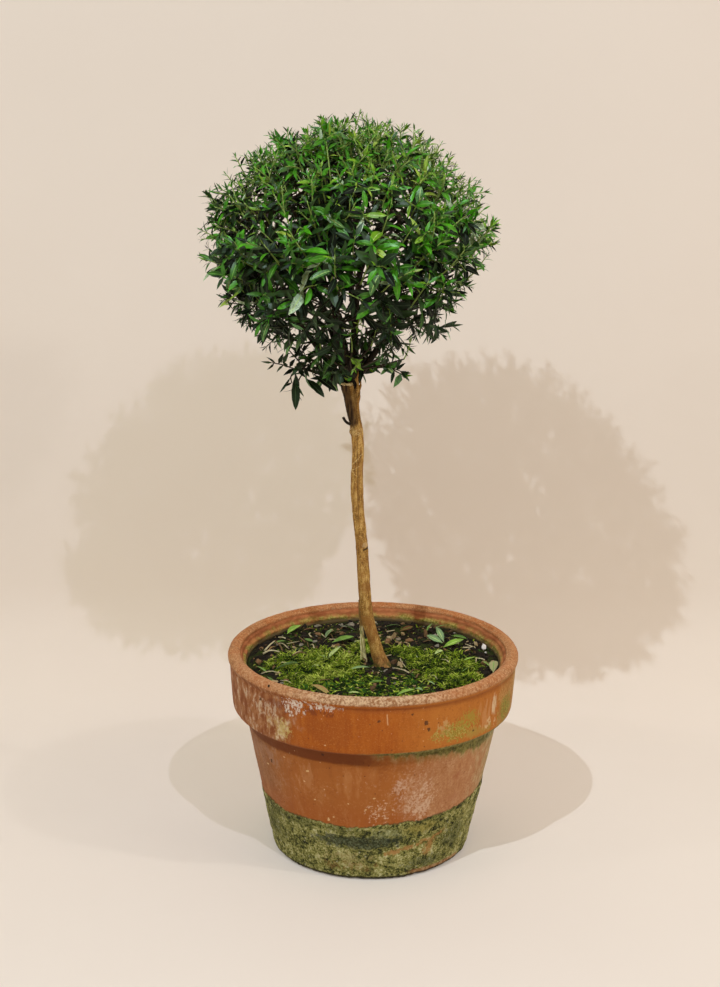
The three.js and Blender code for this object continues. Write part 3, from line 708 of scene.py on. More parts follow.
    # pale dots and dark pits anywhere
    dots = k.mul(k.step(k.cells(4.6), 0.12, 0.05), k.step(k.cells(4.6, out="Color"), 0.66, 0.74))
    skin = lay(skin, k.mul(dots, outside), 0.62, srgb(220, 178, 128))
    pits = k.mul(k.step(k.cells(9.1, vec=k.place(move=(0.011, 0.004, 0.007))), 0.075, 0.035), outside)
    skin = lay(skin, pits, 0.7, srgb(88, 44, 22))
    for at, up, a, b, c in (
        (20.4, 129.6, 0.55, 2.2, 0), (21.6, 124.5, 0.4, 1.5, 0), (14.6, 137, 0.45, 0.6, 0), (42.6, 115.6, 0.4, 0.6, 0),
        (-49, 135, 0.5, 0.9, 0), (2, 133.4, 0.35, 0.6, 0), (5, 105.6, 1.6, 1.2, 0), (-22, 101.4, 0.7, 0.8, 0), (-53.5, 82.5, 0.5, 1.5, 0),
        (-30.2, 85.5, 0.7, 1.0, 1), (-33, 76, 0.5, 0.8, 1), (-22.5, 73, 0.5, 0.6, 1), (-11, 63.8, 0.7, 0.7, 1), (-2.8, 59.6, 0.6, 0.6, 1),
        (1, 69, 0.5, 0.5, 1), (-58, 77.5, 1.6, 0.6, 1), (-28, 63, 0.6, 0.5, 1), (-43, 91, 1.0, 0.4, 1), (-18.6, 113, 0.5, 0.5, 1),
        (-21.6, 48.4, 0.55, 2.4, 1), (-19, 51, 0.5, 0.4, 1), (35.5, 37, 0.7, 0.8, 2), (-3, 31.5, 0.5, 0.8, 2), (10, 59, 0.5, 0.5, 1),
    ):
        spot = k.mul(k.hill(k.add(deg, k.mul(fine, 2.2)), at, a * (0.8, 0.42, 0.5)[c], 0.36), k.hill(k.add(z, k.mul(fine, 2.2)), up, b * (0.8, 0.5, 0.6)[c], 0.42))
        skin = lay(skin, spot, (0.8, 0.75, 0.9)[c], (srgb(70, 40, 22), srgb(222, 190, 134), srgb(214, 206, 186))[c])
    # the lip and the inside
    tan = k.mix(k.step(grain, 0.34, 0.66), srgb(158, 98, 52), srgb(200, 144, 94))
    tan = lay(tan, k.step(k.noise(13, 4), 0.42, 0.64), 0.55, srgb(178, 100, 44))
    tan = lay(tan, k.step(speck, 0.50, 0.66), 0.46, srgb(214, 174, 126))
    tan = lay(tan, k.step(tuft, 0.46, 0.34), 0.5, srgb(126, 78, 44))
    chalky = k.add(k.mul(k.mul(k.step(deg_w, -40, -14), k.step(deg_w, 40, 8)), 0.68), k.mul(k.step(round_back, 96, 60), 0.20))
    tan = k.mix(chalky, tan, k.mix(k.step(k.add(k.mul(speck, 0.6), k.mul(tuft, 0.4)), 0.40, 0.58), srgb(142, 98, 60), srgb(212, 182, 144)))
    on_lip = k.step(k.add(z, k.mul(fine, 1.5)), 143.6, 145.6)
    skin = k.mix(on_lip, skin, tan)
    pit = k.math("SQRT", k.add(k.math("POWER", k.mul(k.add(deg, 44.0), 1.8), 2.0), k.math("POWER", k.sub(z, 147.2), 2.0)))
    skin = k.mix(k.mul(k.step(pit, 1.3, 0.7), outside), skin, srgb(28, 20, 14))
    well = k.mix(k.step(k.noise(9, 4, 0.6, vec=k.place(scale=(1, 1, 2.2))), 0.32, 0.7), srgb(150, 84, 44), srgb(188, 118, 70))
    well = k.mix(k.mul(k.step(k.add(z, k.mul(wob, 7)), 144.6, 140.6), k.step(k.noise(11, 4), 0.34, 0.56)), well, k.mix(k.step(speck, 0.4, 0.6), srgb(112, 112, 34), srgb(176, 162, 82)))
    well = k.mix(k.step(k.add(z, k.mul(wob, 4)), 141.2, 138.6), well, srgb(88, 72, 40))
    skin = k.mix(k.mul(inside, k.step(z, 147.4, 145.4)), skin, well)
    # the crust of dried algae round the foot
    edge = k.ramp(k.math("MULTIPLY_ADD", deg, 1 / 360, 0.5), *[((a + 180) / 360, (h / 100,) * 3) for a, h in CRUST])
    edge = k.add(k.mul(edge, 100.0), k.add(k.mul(wob, 3.4), k.mul(fine, 2.4)))
    over = k.sub(z, edge)
    crust = k.mul(k.step(over, 0.35, -0.35), outside)
    mott = k.noise(4.2, 6, 0.74)
    lump = k.noise(11, 5, 0.62, vec=k.place(move=(0.21, 0.0, 0.04)))
    blend = k.add(k.mul(lump, 0.24), k.add(k.mul(mott, 0.40), k.mul(k.noise(1.5, 4, 0.7), 0.36)))
    green = k.ramp(blend, (0.415, srgb(26, 30, 14)), (0.455, srgb(64, 68, 30)), (0.497, srgb(124, 123, 61)), (0.540, srgb(165, 162, 96)), (0.590, srgb(206, 204, 158)))
    green = lay(green, patch(-46, 41, 30, 5, mott), 0.55, srgb(78, 82, 40))
    green = lay(green, patch(-16, 41, 16, 4, mott, 3.0), 0.6, srgb(84, 84, 40))
    green = lay(green, patch(8, 39, 12, 6, mott, 3.0), 0.55, k.mix(k.step(tuft, 0.42, 0.6), srgb(92, 100, 66), srgb(162, 168, 128)))
    green = lay(green, patch(26, 40, 14, 7.5, mott, 3.0), 0.7, k.mix(k.step(tuft, 0.40, 0.58), srgb(106, 98, 34), srgb(166, 156, 80)))
    green = lay(green, patch(-8, 31.5, 27, 6.4, mott, 2.4, 0.05, 0.40), 0.88, k.mix(k.step(k.noise(1.7, 4, 0.7), 0.44, 0.66), srgb(24, 32, 20), srgb(98, 108, 80)))
    green = lay(green, patch(13, 34, 6, 5, mott, 2.6), 0.8, srgb(34, 42, 28))
    green = lay(green, patch(-63, 27, 16, 15, mott, 3.2), 0.62, srgb(66, 72, 38))
    green = lay(green, patch(-14, 18, 22, 9, mott, 4.0, 0.35, 0.75), 0.7, k.mix(k.step(tuft, 0.42, 0.56), srgb(128, 112, 58), srgb(186, 178, 122)))
    green = lay(green, patch(-12, 11, 20, 6, tuft, 3.4), 0.5, srgb(132, 98, 50))
    green = lay(green, patch(30, 11, 16, 6, mott, 3.4), 0.6, srgb(74, 82, 58))
    green = lay(green, patch(50, 26, 12, 15, mott, 3.4), 0.6, srgb(66, 74, 46))
    green = lay(green, patch(60, 42, 12, 9, cloud, 3.0), 0.5, srgb(152, 146, 84))
    chips = k.mul(k.step(k.cells(5.0), 0.17, 0.10), k.step(k.cells(5.0, out="Color"), 0.62, 0.7))
    green = lay(green, chips, 0.5, srgb(196, 194, 160))
    # a long scrape that shows the clay again
    ragged = k.add(k.mul(wob, 5.0), k.mul(fine, 5.0))
    line = k.add(k.sub(z, k.math("MULTIPLY_ADD", deg, 0.32, 19.6)), ragged)
    rub = k.mul(k.hill(line, 0.0, 0.55, 1.4), k.mul(k.step(deg, 6, 11), k.step(deg, 44, 38)))
    arm = k.mul(k.hill(k.add(deg, k.add(k.mul(k.sub(z, 24.0), -0.22), ragged)), 32.5, 1.2, 2.6), k.mul(k.step(z_w, 15, 19), k.step(z, 31, 28)))
    blot = patch(11, 22.5, 5.5, 3.2, tuft, 3.0)
    rub = k.math("MAXIMUM", k.math("MAXIMUM", rub, arm), blot)
    rub = k.mul(rub, k.step(k.add(k.mul(tuft, 0.6), k.mul(speck, 0.4)), 0.38, 0.52))
    green = lay(green, rub, 0.85, k.mix(tuft, srgb(150, 104, 50), srgb(190, 142, 86)))
    worn = k.mul(k.mul(k.step(k.add(z, k.mul(fine, 3)), 6.6, 4.2), k.hill(deg_w, 41, 15, 8)), 0.85)
    green = k.mix(worn, green, k.mix(k.step(tuft, 0.4, 0.6), srgb(146, 96, 56), srgb(186, 148, 108)))
    skin = k.mix(crust, skin, green)
    rimline = k.mul(k.hill(over, 0.15, 0.25, 0.6), k.mul(outside, k.step(k.noise(9, 3), 0.4, 0.55)))
    skin = k.mix(k.mul(rimline, 0.6), skin, srgb(74, 60, 26))
    # painted shadow: the bottom few millimetres of the pot darkened to near black where it stands on the floor
    foot = k.mul(k.step(z, 3.4, 1.8), 0.9)
    skin = k.mix(foot, skin, srgb(34, 26, 16))
    k.colour(skin)
    k.rough(k.add(0.80, k.mul(crust, 0.14)))
    first = k.bump(k.add(k.mul(k.noise(1.1, 4, 0.65), 0.5), k.mul(k.noise(4.5, 3), 0.5)), 0.34, 0.7)
    k.bump(k.mul(k.add(k.mul(speck, 0.5), k.mul(mott, 0.8)), k.lim(k.add(crust, k.mul(on_lip, 0.35)))), 1.5, 1.0, after=first)
    return k.mat


pot = settle(pot_mesh().make("clay_pot", [clay()]), "pot", "pot")

# ---------------------------------------------------------------------------------------------- stem and boughs
HEAD = np.array([-17.2, 0.0, 344.0])
STEM_H = [0, 9, 18, 36, 60, 90, 118, 138, 156, 172, 184, 195, 205]
STEM_LEAN = [0, -3.6, -6.3, -11.1, -13.7, -15.6, -18.5, -19.1, -18.5, -19.5, -22.0, -23.6, -25.2]


def along_angle(v, c, ang):
    """Angle round a level ring, 0 at the front, in radians."""
    return np.arctan2(v[..., 0] - c[..., 0], -(v[..., 1] - c[..., 1]))


def stem_mesh():
    pts = [(8 + l, -10 * (1 - h / 205), 139.6 + h / 205 * 204.4) for h, l in zip(STEM_H, STEM_LEAN)]
    line = spline(pts, 900)
    z = np.concatenate([[133.0], np.linspace(136.5, 343.2, 400), [343.9]])
    x, y = np.interp(z, line[:, 2], line[:, 0]), np.interp(z, line[:, 2], line[:, 1])
    up, down = np.clip(z - 139.6, -2.5, None), 344 - z
    t = np.clip(up / 204.4, 0, 1)
    r = 4.6 - 0.75 * t + 1.7 * np.exp(-up / 6) + 0.35 * np.exp(-(((up - 126) / 9) ** 2)) + 2.9 * np.exp(-down / 14)
    n = 80
    a = np.arange(n) / n * 2 * math.pi
    A, R = np.meshgrid(a, r)
    Z = np.repeat(z[:, None], n, axis=1)
    u = np.stack([np.sin(A), -np.cos(A), np.zeros_like(A)], -1)
    q = np.stack([x[:, None] + 0 * A, y[:, None] + 0 * A, Z], -1) + u * R[..., None]
    flat = q.reshape(-1, 3)
    long = flat * np.array([1 / 2.0, 1 / 2.0, 1 / 17.0])
    push = 0.34 * fbm(long, 71, 4) + 0.20 * fbm(flat / 5.0, 73, 3) + 0.10 * fbm(flat / 1.5, 75, 2) + 0.07 * fbm(flat / np.array([0.8, 0.8, 2.2]), 76, 2)
    push = push.reshape(A.shape)
    deg = np.degrees(np.angle(np.exp(1j * A)))

    def bump(at, high, wide, tall, size):
        d = np.angle(np.exp(1j * np.radians(deg - at))) * R / wide
        return size * np.exp(-(d**2) - ((Z - high) / tall) ** 2)

    push += bump(70, 338.5, 2.6, 5.0, 1.7) + bump(100, 334, 2.2, 3.4, 1.0)  # the knob under the fork
    push += bump(-38, 313.6, 2.3, 1.9, 0.9) - bump(-36, 313.4, 0.9, 0.9, 1.7)  # a broken twig and its collar
    push += bump(-80, 309.5, 1.8, 2.2, 1.1)
    push += bump(20, 277.7, 2.6, 1.4, 0.5) + bump(-10, 281.6, 1.4, 3.2, 0.35) + bump(30, 272, 1.8, 3.5, 0.35)
    push += bump(30, 223.0, 1.6, 0.7, -0.7) + bump(62, 224.6, 1.5, 4.6, 0.35)
    seam = np.exp(-((R * np.radians(deg - 14) / 0.55) ** 2)) * np.clip((Z - 250) / 6, 0, 1) * np.clip((286 - Z) / 6, 0, 1)
    push -= 0.55 * seam
    push += bump(-30, 251.5, 2.6, 1.3, 0.55) + bump(20, 248.6, 1.6, 1.1, 0.5) - bump(28, 246.4, 0.8, 1.6, 0.6)
    push += bump(72, 206, 2.2, 6.0, 0.8) + bump(-60, 176, 2.4, 9.0, 0.5)
    for at in (-150, -75, -5, 50, 120):  # the first roots, only just showing
        push += bump(at, 136.0, 2.6, 4.0, 0.7)
    foot = np.clip((152 - Z) / 12, 0, 1)
    push += foot * (0.32 * fbm(flat / 2.6, 79, 3) + 0.22 * fbm(flat / np.array([1.2, 1.2, 4.0]), 80, 2)).reshape(A.shape)
    push[-1] *= 0.3
    v = q + u * push[..., None]
    v[-1] = v[-2] * [1, 1, 0] + [0, 0, 344.0] + (np.array([x[-1], y[-1], 0]) - v[-2] * [1, 1, 0]) * 0.06
    tilt = (v[-12:, :, 0] - x[-12:, None]) * -0.12  # the cut slopes down to the right
    v[-12:, :, 2] += tilt * np.linspace(0, 1, 12)[:, None]
    v = v.reshape(-1, 3)
    rows = len(z)
    i, j = np.arange(rows - 1)[:, None] * n, np.arange(n)[None]
    j2 = (j + 1) % n
    quad = np.stack([i + j, i + n + j, i + n + j2, i + j2], -1).reshape(-1, 4)[:, ::-1]
    bag = Bag()
    m = np.zeros(len(quad), int)
    bag.add(v, quad=quad, qm=m)
    # end grain: a slightly dished cut with a raised lip of bark
    o = (rows - 1) * n
    rim = v[o : o + n]
    mid = rim.mean(0)
    rings = [rim]
    for s, dip in ((0.86, -0.35), (0.6, -0.55), (0.3, -0.5)):
        w = mid + (rim - mid) * s
        w = w + np.c_[np.zeros((n, 2)), dip + 0.12 * vnoise(w / 1.2, 77)]
        rings.append(w)
    ring = np.vstack(rings + [mid + [0, 0, -0.45]])
    q = []
    tri = []
    for k in range(3):
        for g in range(n):
            h = (g + 1) % n
            q.append((k * n + g, k * n + h, (k + 1) * n + h, (k + 1) * n + g))
    for g in range(n):
        tri.append((3 * n + g, 3 * n + (g + 1) % n, 4 * n))
    bag.add(ring, tri=tri, quad=q, m=1, qm=1)
    c = v[:n].mean(0)
    bag.add(np.vstack([v[:n], c]), tri=[(n, (g + 1) % n, g) for g in range(n)], m=0)
    return bag


def limb_mesh(points, radii, sides, seed, rough=0.16, cut=False, rows_per=1.3, bag=None):
    p = spline(points, 240)
    length = np.linalg.norm(np.diff(p, axis=0), axis=1).sum()
    rows = max(8, int(length / rows_per))
    p = spline(points, rows)
    t = np.linspace(0, 1, rows)
    r = radii(t)
    _, s, b = frames(p)
    a = np.arange(sides) / sides * 2 * math.pi
    u = np.cos(a)[None, :, None] * s[:, None] + np.sin(a)[None, :, None] * b[:, None]
    q = (p[:, None] + u * r[:, None, None]).reshape(-1, 3)
    k = 1 + rough * fbm(q / np.array([2.4, 2.4, 5.0]), seed, 3) * 1.6 + 0.5 * rough * fbm(q / 7, seed + 3, 2)
    v, tri, quad = tube(p, r, sides, (True, True), shape=k.reshape(rows, sides))
    bag = bag or Bag()
    mt = np.zeros(len(tri), int)
    if cut:
        mt[sides:] = 1
    bag.add(v, tri=tri, quad=quad, m=mt, qm=0)
    return bag


def bark_look(name, dark=False):
    k = Look(name, rough=0.82, specular=0.25)
    x, y, z = k.xyz()
    fibre = k.noise(1.5, 5, 0.62, vec=k.place(scale=(1, 1, 0.10)))
    flake = k.noise(2.6, 5, 0.66, vec=k.place(scale=(1, 1, 0.45), move=(0.02, 0, 0.01)))
    small = k.noise(0.8, 3, 0.65)
    if dark:
        base = k.ramp(fibre, (0.30, srgb(13, 10, 6)), (0.5, srgb(27, 20, 12)), (0.7, srgb(60, 45, 27)))
        base = k.mix(k.mul(k.step(flake, 0.60, 0.72), 0.3), base, srgb(92, 76, 48))
    else:
        base = k.ramp(k.add(k.mul(fibre, 0.5), k.mul(flake, 0.5)), (0.36, srgb(78, 50, 18)), (0.45, srgb(142, 99, 41)), (0.53, srgb(174, 132, 63)), (0.64, srgb(210, 172, 102)))
        dots = k.noise(0.9, 4, 0.7)
        base = k.mix(k.mul(k.step(dots, 0.54, 0.64), 0.50), base, srgb(222, 184, 112))
        base = k.mix(k.mul(k.step(dots, 0.46, 0.37), 0.56), base, srgb(84, 52, 20))
        rust = k.mul(k.step(k.noise(9, 3), 0.46, 0.62), k.add(0.28, k.mul(k.step(z, 265, 170), 0.42)))
        base = k.mix(rust, base, srgb(142, 92, 40))
        pale = k.step(small, 0.60, 0.70)
        base = k.mix(k.mul(pale, 0.5), base, srgb(196, 172, 118))
        pit = k.step(small, 0.36, 0.27)
        base = k.mix(k.mul(pit, 0.5), base, srgb(86, 56, 26))
        # darker wood between the lowest knot and the fork, with two pale ribs
        high = k.mul(k.step(z, 309, 318), 1.0)
        darkness = k.mul(high, k.step(k.noise(4.2, 3, 0.5, vec=k.place(scale=(1, 1, 0.09), move=(0.003, 0, 0))), 0.60, 0.40))
        left = k.step(k.add(x, k.mul(k.sub(z, 315), 0.16)), -10.9, -14.2)
        darkness = k.lim(k.mul(high, k.add(k.mul(left, 0.9), k.mul(darkness, 0.6))))
        base = k.mix(k.mul(darkness, 0.95), base, k.mix(k.step(fibre, 0.4, 0.62), srgb(28, 19, 10), srgb(88, 64, 36)))
        crumble = k.mul(k.hill(k.add(z, k.mul(flake, 5.0)), 312.6, 1.8, 1.6), k.step(small, 0.44, 0.60))
        base = k.mix(k.mul(crumble, 0.6), base, srgb(198, 172, 116))
        dents = k.mul(k.hill(k.add(z, k.mul(flake, 4.0)), 311.6, 1.8, 1.4), k.mul(k.step(small, 0.48, 0.38), k.step(x, -11.5, -14.0)))
        base = k.mix(k.mul(dents, 0.8), base, srgb(44, 28, 14))
        scratch = k.mul(k.hill(k.add(k.add(z, k.mul(x, -1.1)), k.mul(small, 1.5)), 303.4, 0.3, 0.5), k.hill(z, 290.4, 3.6, 1.5))
        scratch = k.add(scratch, k.mul(k.hill(k.add(k.add(z, k.mul(x, -0.6)), k.mul(small, 1.5)), 292.2, 0.2, 0.4), k.hill(z, 283.7, 1.8, 1)))
        scratch = k.add(scratch, k.mul(k.hill(k.add(k.add(z, k.mul(x, 0.9)), k.mul(small, 1.5)), 269.4, 0.2, 0.4), k.hill(z, 280.6, 1.8, 1)))
        base = k.mix(k.mul(k.mul(k.lim(scratch), k.mul(k.step(y, 0, -2), k.step(small, 0.40, 0.56))), 0.72), base, srgb(226, 196, 130))
        line = k.mul(k.hill(k.add(x, k.add(k.mul(k.sub(z, 280), 0.02), k.mul(k.sub(flake, 0.5), 1.6))), -10.6, 0.15, 0.45), k.mul(k.hill(z, 276, 26, 10), k.step(y, 0, -2)))
        base = k.mix(k.mul(line, 0.6), base, srgb(96, 66, 28))
        foot = k.step(z, 152, 141)
        base = k.mix(k.mul(foot, 0.6), base, k.mix(k.step(flake, 0.4, 0.6), srgb(86, 54, 26), srgb(164, 116, 66)))
        wet = k.mul(k.step(z, 144, 140.2), k.step(k.noise(3, 3), 0.36, 0.56))
        base = k.mix(wet, base, srgb(84, 78, 30))
        rag = k.mul(k.sub(small, 0.5), 3.0)
        scar = k.mul(k.hill(k.add(x, rag), -4.7, 1.7, 0.6), k.mul(k.hill(k.add(z, rag), 228.9, 1.3, 0.8), k.step(y, 0, -2)))
        slot = k.mul(k.hill(k.add(x, rag), -4.5, 1.7, 0.5), k.mul(k.hill(k.add(z, k.mul(x, -0.45)), 228.0, 0.5, 0.35), k.step(y, 0, -2)))
        base = k.mix(k.mul(scar, 0.5), base, srgb(192, 164, 118))
        base = k.mix(k.mul(slot, 0.9), base, srgb(48, 32, 18))
    k.colour(base)
    k.bump(k.add(k.mul(fibre, 0.7), k.mul(small, 0.4)), 0.42, 0.8)
    return k.mat


def cut_look():
    k = Look("cut_wood", rough=0.8, specular=0.2)
    ring = k.noise(1.2, 4, 0.6, warp=0.6)
    k.colour(k.ramp(ring, (0.32, srgb(150, 118, 70)), (0.5, srgb(216, 194, 144)), (0.68, srgb(238, 224, 184))))
    k.bump(ring, 0.3, 0.7)
    return k.mat


def grey_look():
    k = Look("dead_stem", rough=0.88, specular=0.2)
    fibre = k.noise(1.1, 5, 0.65, vec=k.place(scale=(1, 1, 0.08)))
    x, y, z = k.xyz()
    c = k.ramp(fibre, (0.36, srgb(120, 104, 56)), (0.46, srgb(222, 212, 146)), (0.60, srgb(252, 246, 198)))
    c = k.mix(k.mul(k.step(k.noise(4, 3), 0.5, 0.62), 0.5), c, srgb(110, 124, 56))
    k.colour(k.mix(k.step(k.add(z, k.mul(k.noise(5, 3), 12)), 168, 174), c, k.mix(fibre, srgb(110, 80, 40), srgb(170, 134, 78))))
    k.bump(fibre, 0.5, 0.9)
    return k.mat


BARK, DARK_BARK, CUT = bark_look("bark"), bark_look("dark_bark", True), cut_look()
settle(stem_mesh().make("stem_bark", [BARK, CUT]), "bark", "trunk")

# The broken twig left of the stem, and rough bark on the knob: small limbs of their own, in a piece beside the stem's.
stub = Bag()
v, tri, quad = tube(spline([(-14.6, -3.0, 314.6), (-17.2, -4.6, 316.0), (-18.8, -5.2, 317.2), (-20.0, -5.2, 318.8), (-21.0, -5.0, 320.6)], 9), np.linspace(1.05, 0.95, 9), 8)
stub.add(v, tri, quad)
for k in range(26):  # loose bark on the knob and round the cut
    q = rng.normal(size=3)
    at = np.array([-11.4, -3.4, 338.5]) + q * [0.7, 0.9, 2.6]
    if k > 15:
        a = rng.uniform(0, 2 * math.pi)
        at = np.array([-17.4 + 6.0 * math.sin(a), -6.0 * math.cos(a), 343.2 + rng.normal() * 0.6])
    v, tri, quad = tube(spline([at, at + rng.normal(size=3) * 0.8, at + rng.normal(size=3) * 1.2], 4), [0.7, 0.95, 0.4, 0.15], 6)
    stub.add(v, tri, quad, 1, 1)
for pts, w in (([(-12.4, -5.0, 338.5), (-10.8, -6.6, 344), (-11.8, -8.0, 348.5), (-10.2, -8.6, 354)], 1.35), ([(-10.6, -3.6, 339), (-8.9, -5.2, 344), (-9.6, -6.2, 349.0)], 1.0)):
    v, tri, quad = tube(spline(pts, 12), np.linspace(w, w * 0.62, 12) * (1 + 0.25 * rng.normal(size=12)).clip(0.7, 1.3), 8)
    stub.add(v, tri, quad, 1, 1)
for k in range(64):  # the pale torn lip of the cut
    a = rng.uniform(-1.35, 1.0)
    at = np.array([-17.8 + 6.4 * math.sin(a), -6.3 * math.cos(a), 343.8 - 0.10 * 6.4 * math.sin(a) + rng.normal() * 0.45])
    way = np.array([math.cos(a), math.sin(a), 0.0]) * rng.choice([-1, 1]) * rng.uniform(0.8, 1.8) + rng.normal(size=3) * 0.35
    v, tri, quad = tube(spline([at, at + way * 0.5 + [0, 0, 0.3], at + way], 4), [0.45, 0.72, 0.66, 0.3], 5)
    stub.add(v, tri, quad, 2, 2)
settle(stub.make("stem_splinters", [DARK_BARK, BARK, CUT]), "bark")

dead = Bag()
for k, (pts, r0, r1) in enumerate((
    ([(-7.0, -0.6, 135), (-7.2, -0.9, 143), (-7.3, -0.6, 153), (-7.6, 0.0, 163), (-8.2, 0.0, 171)], 0.85, 0.6),
    ([(-3.6, -1.2, 135), (-4.4, -1.5, 142), (-5.6, -1.0, 152), (-7.0, -0.2, 163), (-8.0, 0.2, 174)], 1.15, 0.7),
    ([(-5.2, 1.2, 135), (-5.9, 1.0, 145), (-6.6, 0.8, 157), (-7.8, 0.4, 170), (-9.2, -0.6, 185)], 1.5, 0.8),
    ([(-6.0, 0.2, 150), (-6.4, 0.0, 156), (-7.4, -1.0, 160), (-8.8, -1.4, 163.5)], 0.6, 0.2),
)):
    limb_mesh(pts, lambda t: r0 + (r1 - r0) * t, 14, 81 + k, 0.34, False, 0.7, dead)
settle(dead.make("dead_shoot", [grey_look(), CUT]), "dead_wood", "dead_side_shoot")
lead = limb_mesh([(HEAD[0] + 0.6, 0.8, 341.5), (HEAD[0] + 0.4, 1.2, 347), (-19.4, 3.4, 360), (-23.2, 4.6, 376), (-26.2, 5, 391.5)], lambda t: 5.0 - 1.7 * np.minimum(1, 2.2 * t) + 0.3 * t, 30, 83, 0.14, True, 1.0)
settle(lead.make("leader_stub", [DARK_BARK, CUT]), "bark", "old_leader")

CROWN = np.array([-18.6, 0.0, 440.6])
LOWER = ["front", "front_left", "back_left", "back_right", "front_right"]
UPPER = ["front_left", "back_left", "back_right", "front_right"]
masses = {}


def out_from(bearing, out, up):
    a = math.radians(bearing)
    return CROWN + [-out * math.sin(a), -out * math.cos(a), up]


boughs = {}
for i, part in enumerate(LOWER):
    a = math.radians(8 + 72 * i)
    c = out_from(8 + 72 * i, 54, -27)
    masses["leaves_lower_" + part] = c
    boughs["bough_lower_" + part] = (
        ([HEAD + [4.4, 1.0, -1.5], HEAD + [5.2, -3.0, 3.0], HEAD + [2.4, -10.5, 10.5]] + [HEAD + [-19 * math.sin(a), -19 * math.cos(a), 22]] + [c]) if part == "front" else [HEAD + [-o * math.sin(a), -o * math.cos(a), z] for o, z in ((3.0, -2), (4.5, 1.6), (10, 9), (19, 22))] + [c],
        2.7, 1.2, "leaves_lower_" + part,
    )
for i, part in enumerate(UPPER):
    a = math.radians(44 + 90 * i)
    c = out_from(44 + 90 * i, 50, 25)
    masses["leaves_upper_" + part] = c
    pts = [(x - o * math.sin(a), 2.5 - o * math.cos(a), 344 + z) for o, x, z in ((3.2, -18.0, 6), (4.6, -18.4, 13), (8, -19.5, 30), (12, -20, 62), (20, -19.6, 92))]
    boughs["bough_upper_" + part] = ([np.array(q) for q in pts] + [c], 2.5, 1.1, "leaves_upper_" + part)
masses["leaves_top"] = out_from(0, 0, 52)
boughs["bough_top"] = ([HEAD + [3.2, -3.0, -2.5], HEAD + [3.6, -3.4, 0.8], HEAD + [3.4, -3.6, 14], np.array([-13.5, -2, 389]), np.array([-18, 0, 432]), masses["leaves_top"]], 2.9, 1.1, "leaves_top")
masses["leaves_tuft_left"] = np.array([-53.0, -4, 349.5])
masses["leaves_tuft_right"] = np.array([15.0, -3, 353])
boughs["bough_tuft_left"] = ([HEAD + [-3.6, -2.2, -1.2], HEAD + [-5.4, -3.2, 0.8], np.array([-33, -4.5, 349.5]), masses["leaves_tuft_left"] + [6, 0, 5]], 1.9, 0.9, "leaves_tuft_left")
boughs["bough_tuft_right"] = ([HEAD + [3.8, -1.6, -1.0], HEAD + [5.6, -2.4, 0.8], np.array([-9.0, -2.8, 350.4]), np.array([-4.4, -3, 353.6]), np.array([3.5, -3, 355.6]), masses["leaves_tuft_right"] + [-3, 0, 4]], 1.35, 0.6, "leaves_tuft_right")
for i, (name, (pts, r0, r1, _)) in enumerate(boughs.items()):
    b = limb_mesh(pts, lambda t: r0 + (r1 - r0) * t, 14, 91 + i, 0.16, False, 1.8)
    settle(b.make(name + "_bark", [DARK_BARK]), "bark", name)

# ---------------------------------------------------------------------------------------------- the crown
def wobble(d, seed, scale):
    total = 0
    for k in range(1, 5):
        a, b = seed * 1.7 + k * 2.39, seed * 0.9 + k * 1.31
        along = d[:, 0] * math.cos(a) * math.cos(b) + d[:, 1] * math.sin(a) * math.cos(b) + d[:, 2] * math.sin(b)
        total = total + np.sin(along * scale * (1 + 0.35 * k) + seed * k)
    return total / 4


def reach(d):
    """How far the clipped outline lies from the crown's centre, in directions d."""
    d = np.atleast_2d(d)
    power = np.where(d[:, 2] > 0, 2.0, 1.52)
    across = np.hypot(d[:, 0], d[:, 1]) / 100
    tall = np.abs(d[:, 2]) / np.where(d[:, 2] > 0, 83.5, 97.0)
    return (across**power + tall**power) ** (-1 / power) * (1 + 0.03 * wobble(d, 3.1, 3.4))


GREENS = [  # blade colours: five shades of old leaf, the darkest of them painted shade, two of young growth, and two pale grey-green ones that paint sheen
    srgb(10, 21, 7), srgb(18, 40, 11), srgb(32, 64, 12), srgb(42, 93, 8), srgb(54, 123, 6),
    srgb(68, 149, 10), srgb(106, 152, 28), srgb(140, 170, 54), srgb(86, 134, 70), srgb(170, 196, 156),
]
RIBS = [srgb(40, 66, 30), srgb(104, 158, 58), srgb(172, 198, 112)]


def leaf_look(name, colour, rough, shine=0.5):
    k = Look(name, rough=rough, specular=shine)
    tint = k.noise(5.0, 3, 0.55)
    low = tuple(c * 0.80 for c in colour)
    high = tuple(min(1.0, c * 1.20) for c in colour)
    base = k.mix(k.step(tint, 0.35, 0.65), low, high)
    if colour in GREENS[-2:]:  # painted sheen: the two sheen colours break into darker flecks
        base = k.mix(k.mul(k.step(k.noise(1.3, 3, 0.6), 0.52, 0.40), 0.62), base, tuple(c * 0.34 for c in colour))
    k.colour(base)
    k.rough(k.math("MULTIPLY_ADD", k.noise(2.2, 2), 0.16, rough - 0.08))
    k.bump(k.noise(0.7, 2, 0.5), 0.06, 0.5)
    return k.mat


LEAF = [leaf_look(f"leaf_{i}", c, (0.62, 0.56, 0.46)[min(i, 2)] - (0.06 if i > 2 else 0), (0.18, 0.3, 0.5)[min(i, 2)]) for i, c in enumerate(GREENS)]
LEAF += [leaf_look(f"rib_{i}", c, 0.5) for i, c in enumerate(RIBS)]


def stem_look(name, low, high):
    k = Look(name, rough=0.55, specular=0.35)
    k.colour(k.mix(k.noise(4.0, 3), low, high))
    k.bump(k.noise(0.9, 3), 0.08, 0.5)
    return k.mat


GREEN_STEM = stem_look("green_stem", srgb(92, 124, 36), srgb(160, 182, 96))
# painted shade: near-black stems for shoots low in the crown or inside it
SHADE_PAINTED_STEM = stem_look("shade_painted_stem", srgb(20, 24, 10), srgb(58, 62, 28))
# near-black twig bark: the twigs' own dark bark, made darker still as painted shade inside the crown
TWIG = stem_look("twig_bark", srgb(20, 15, 9), srgb(62, 46, 27))


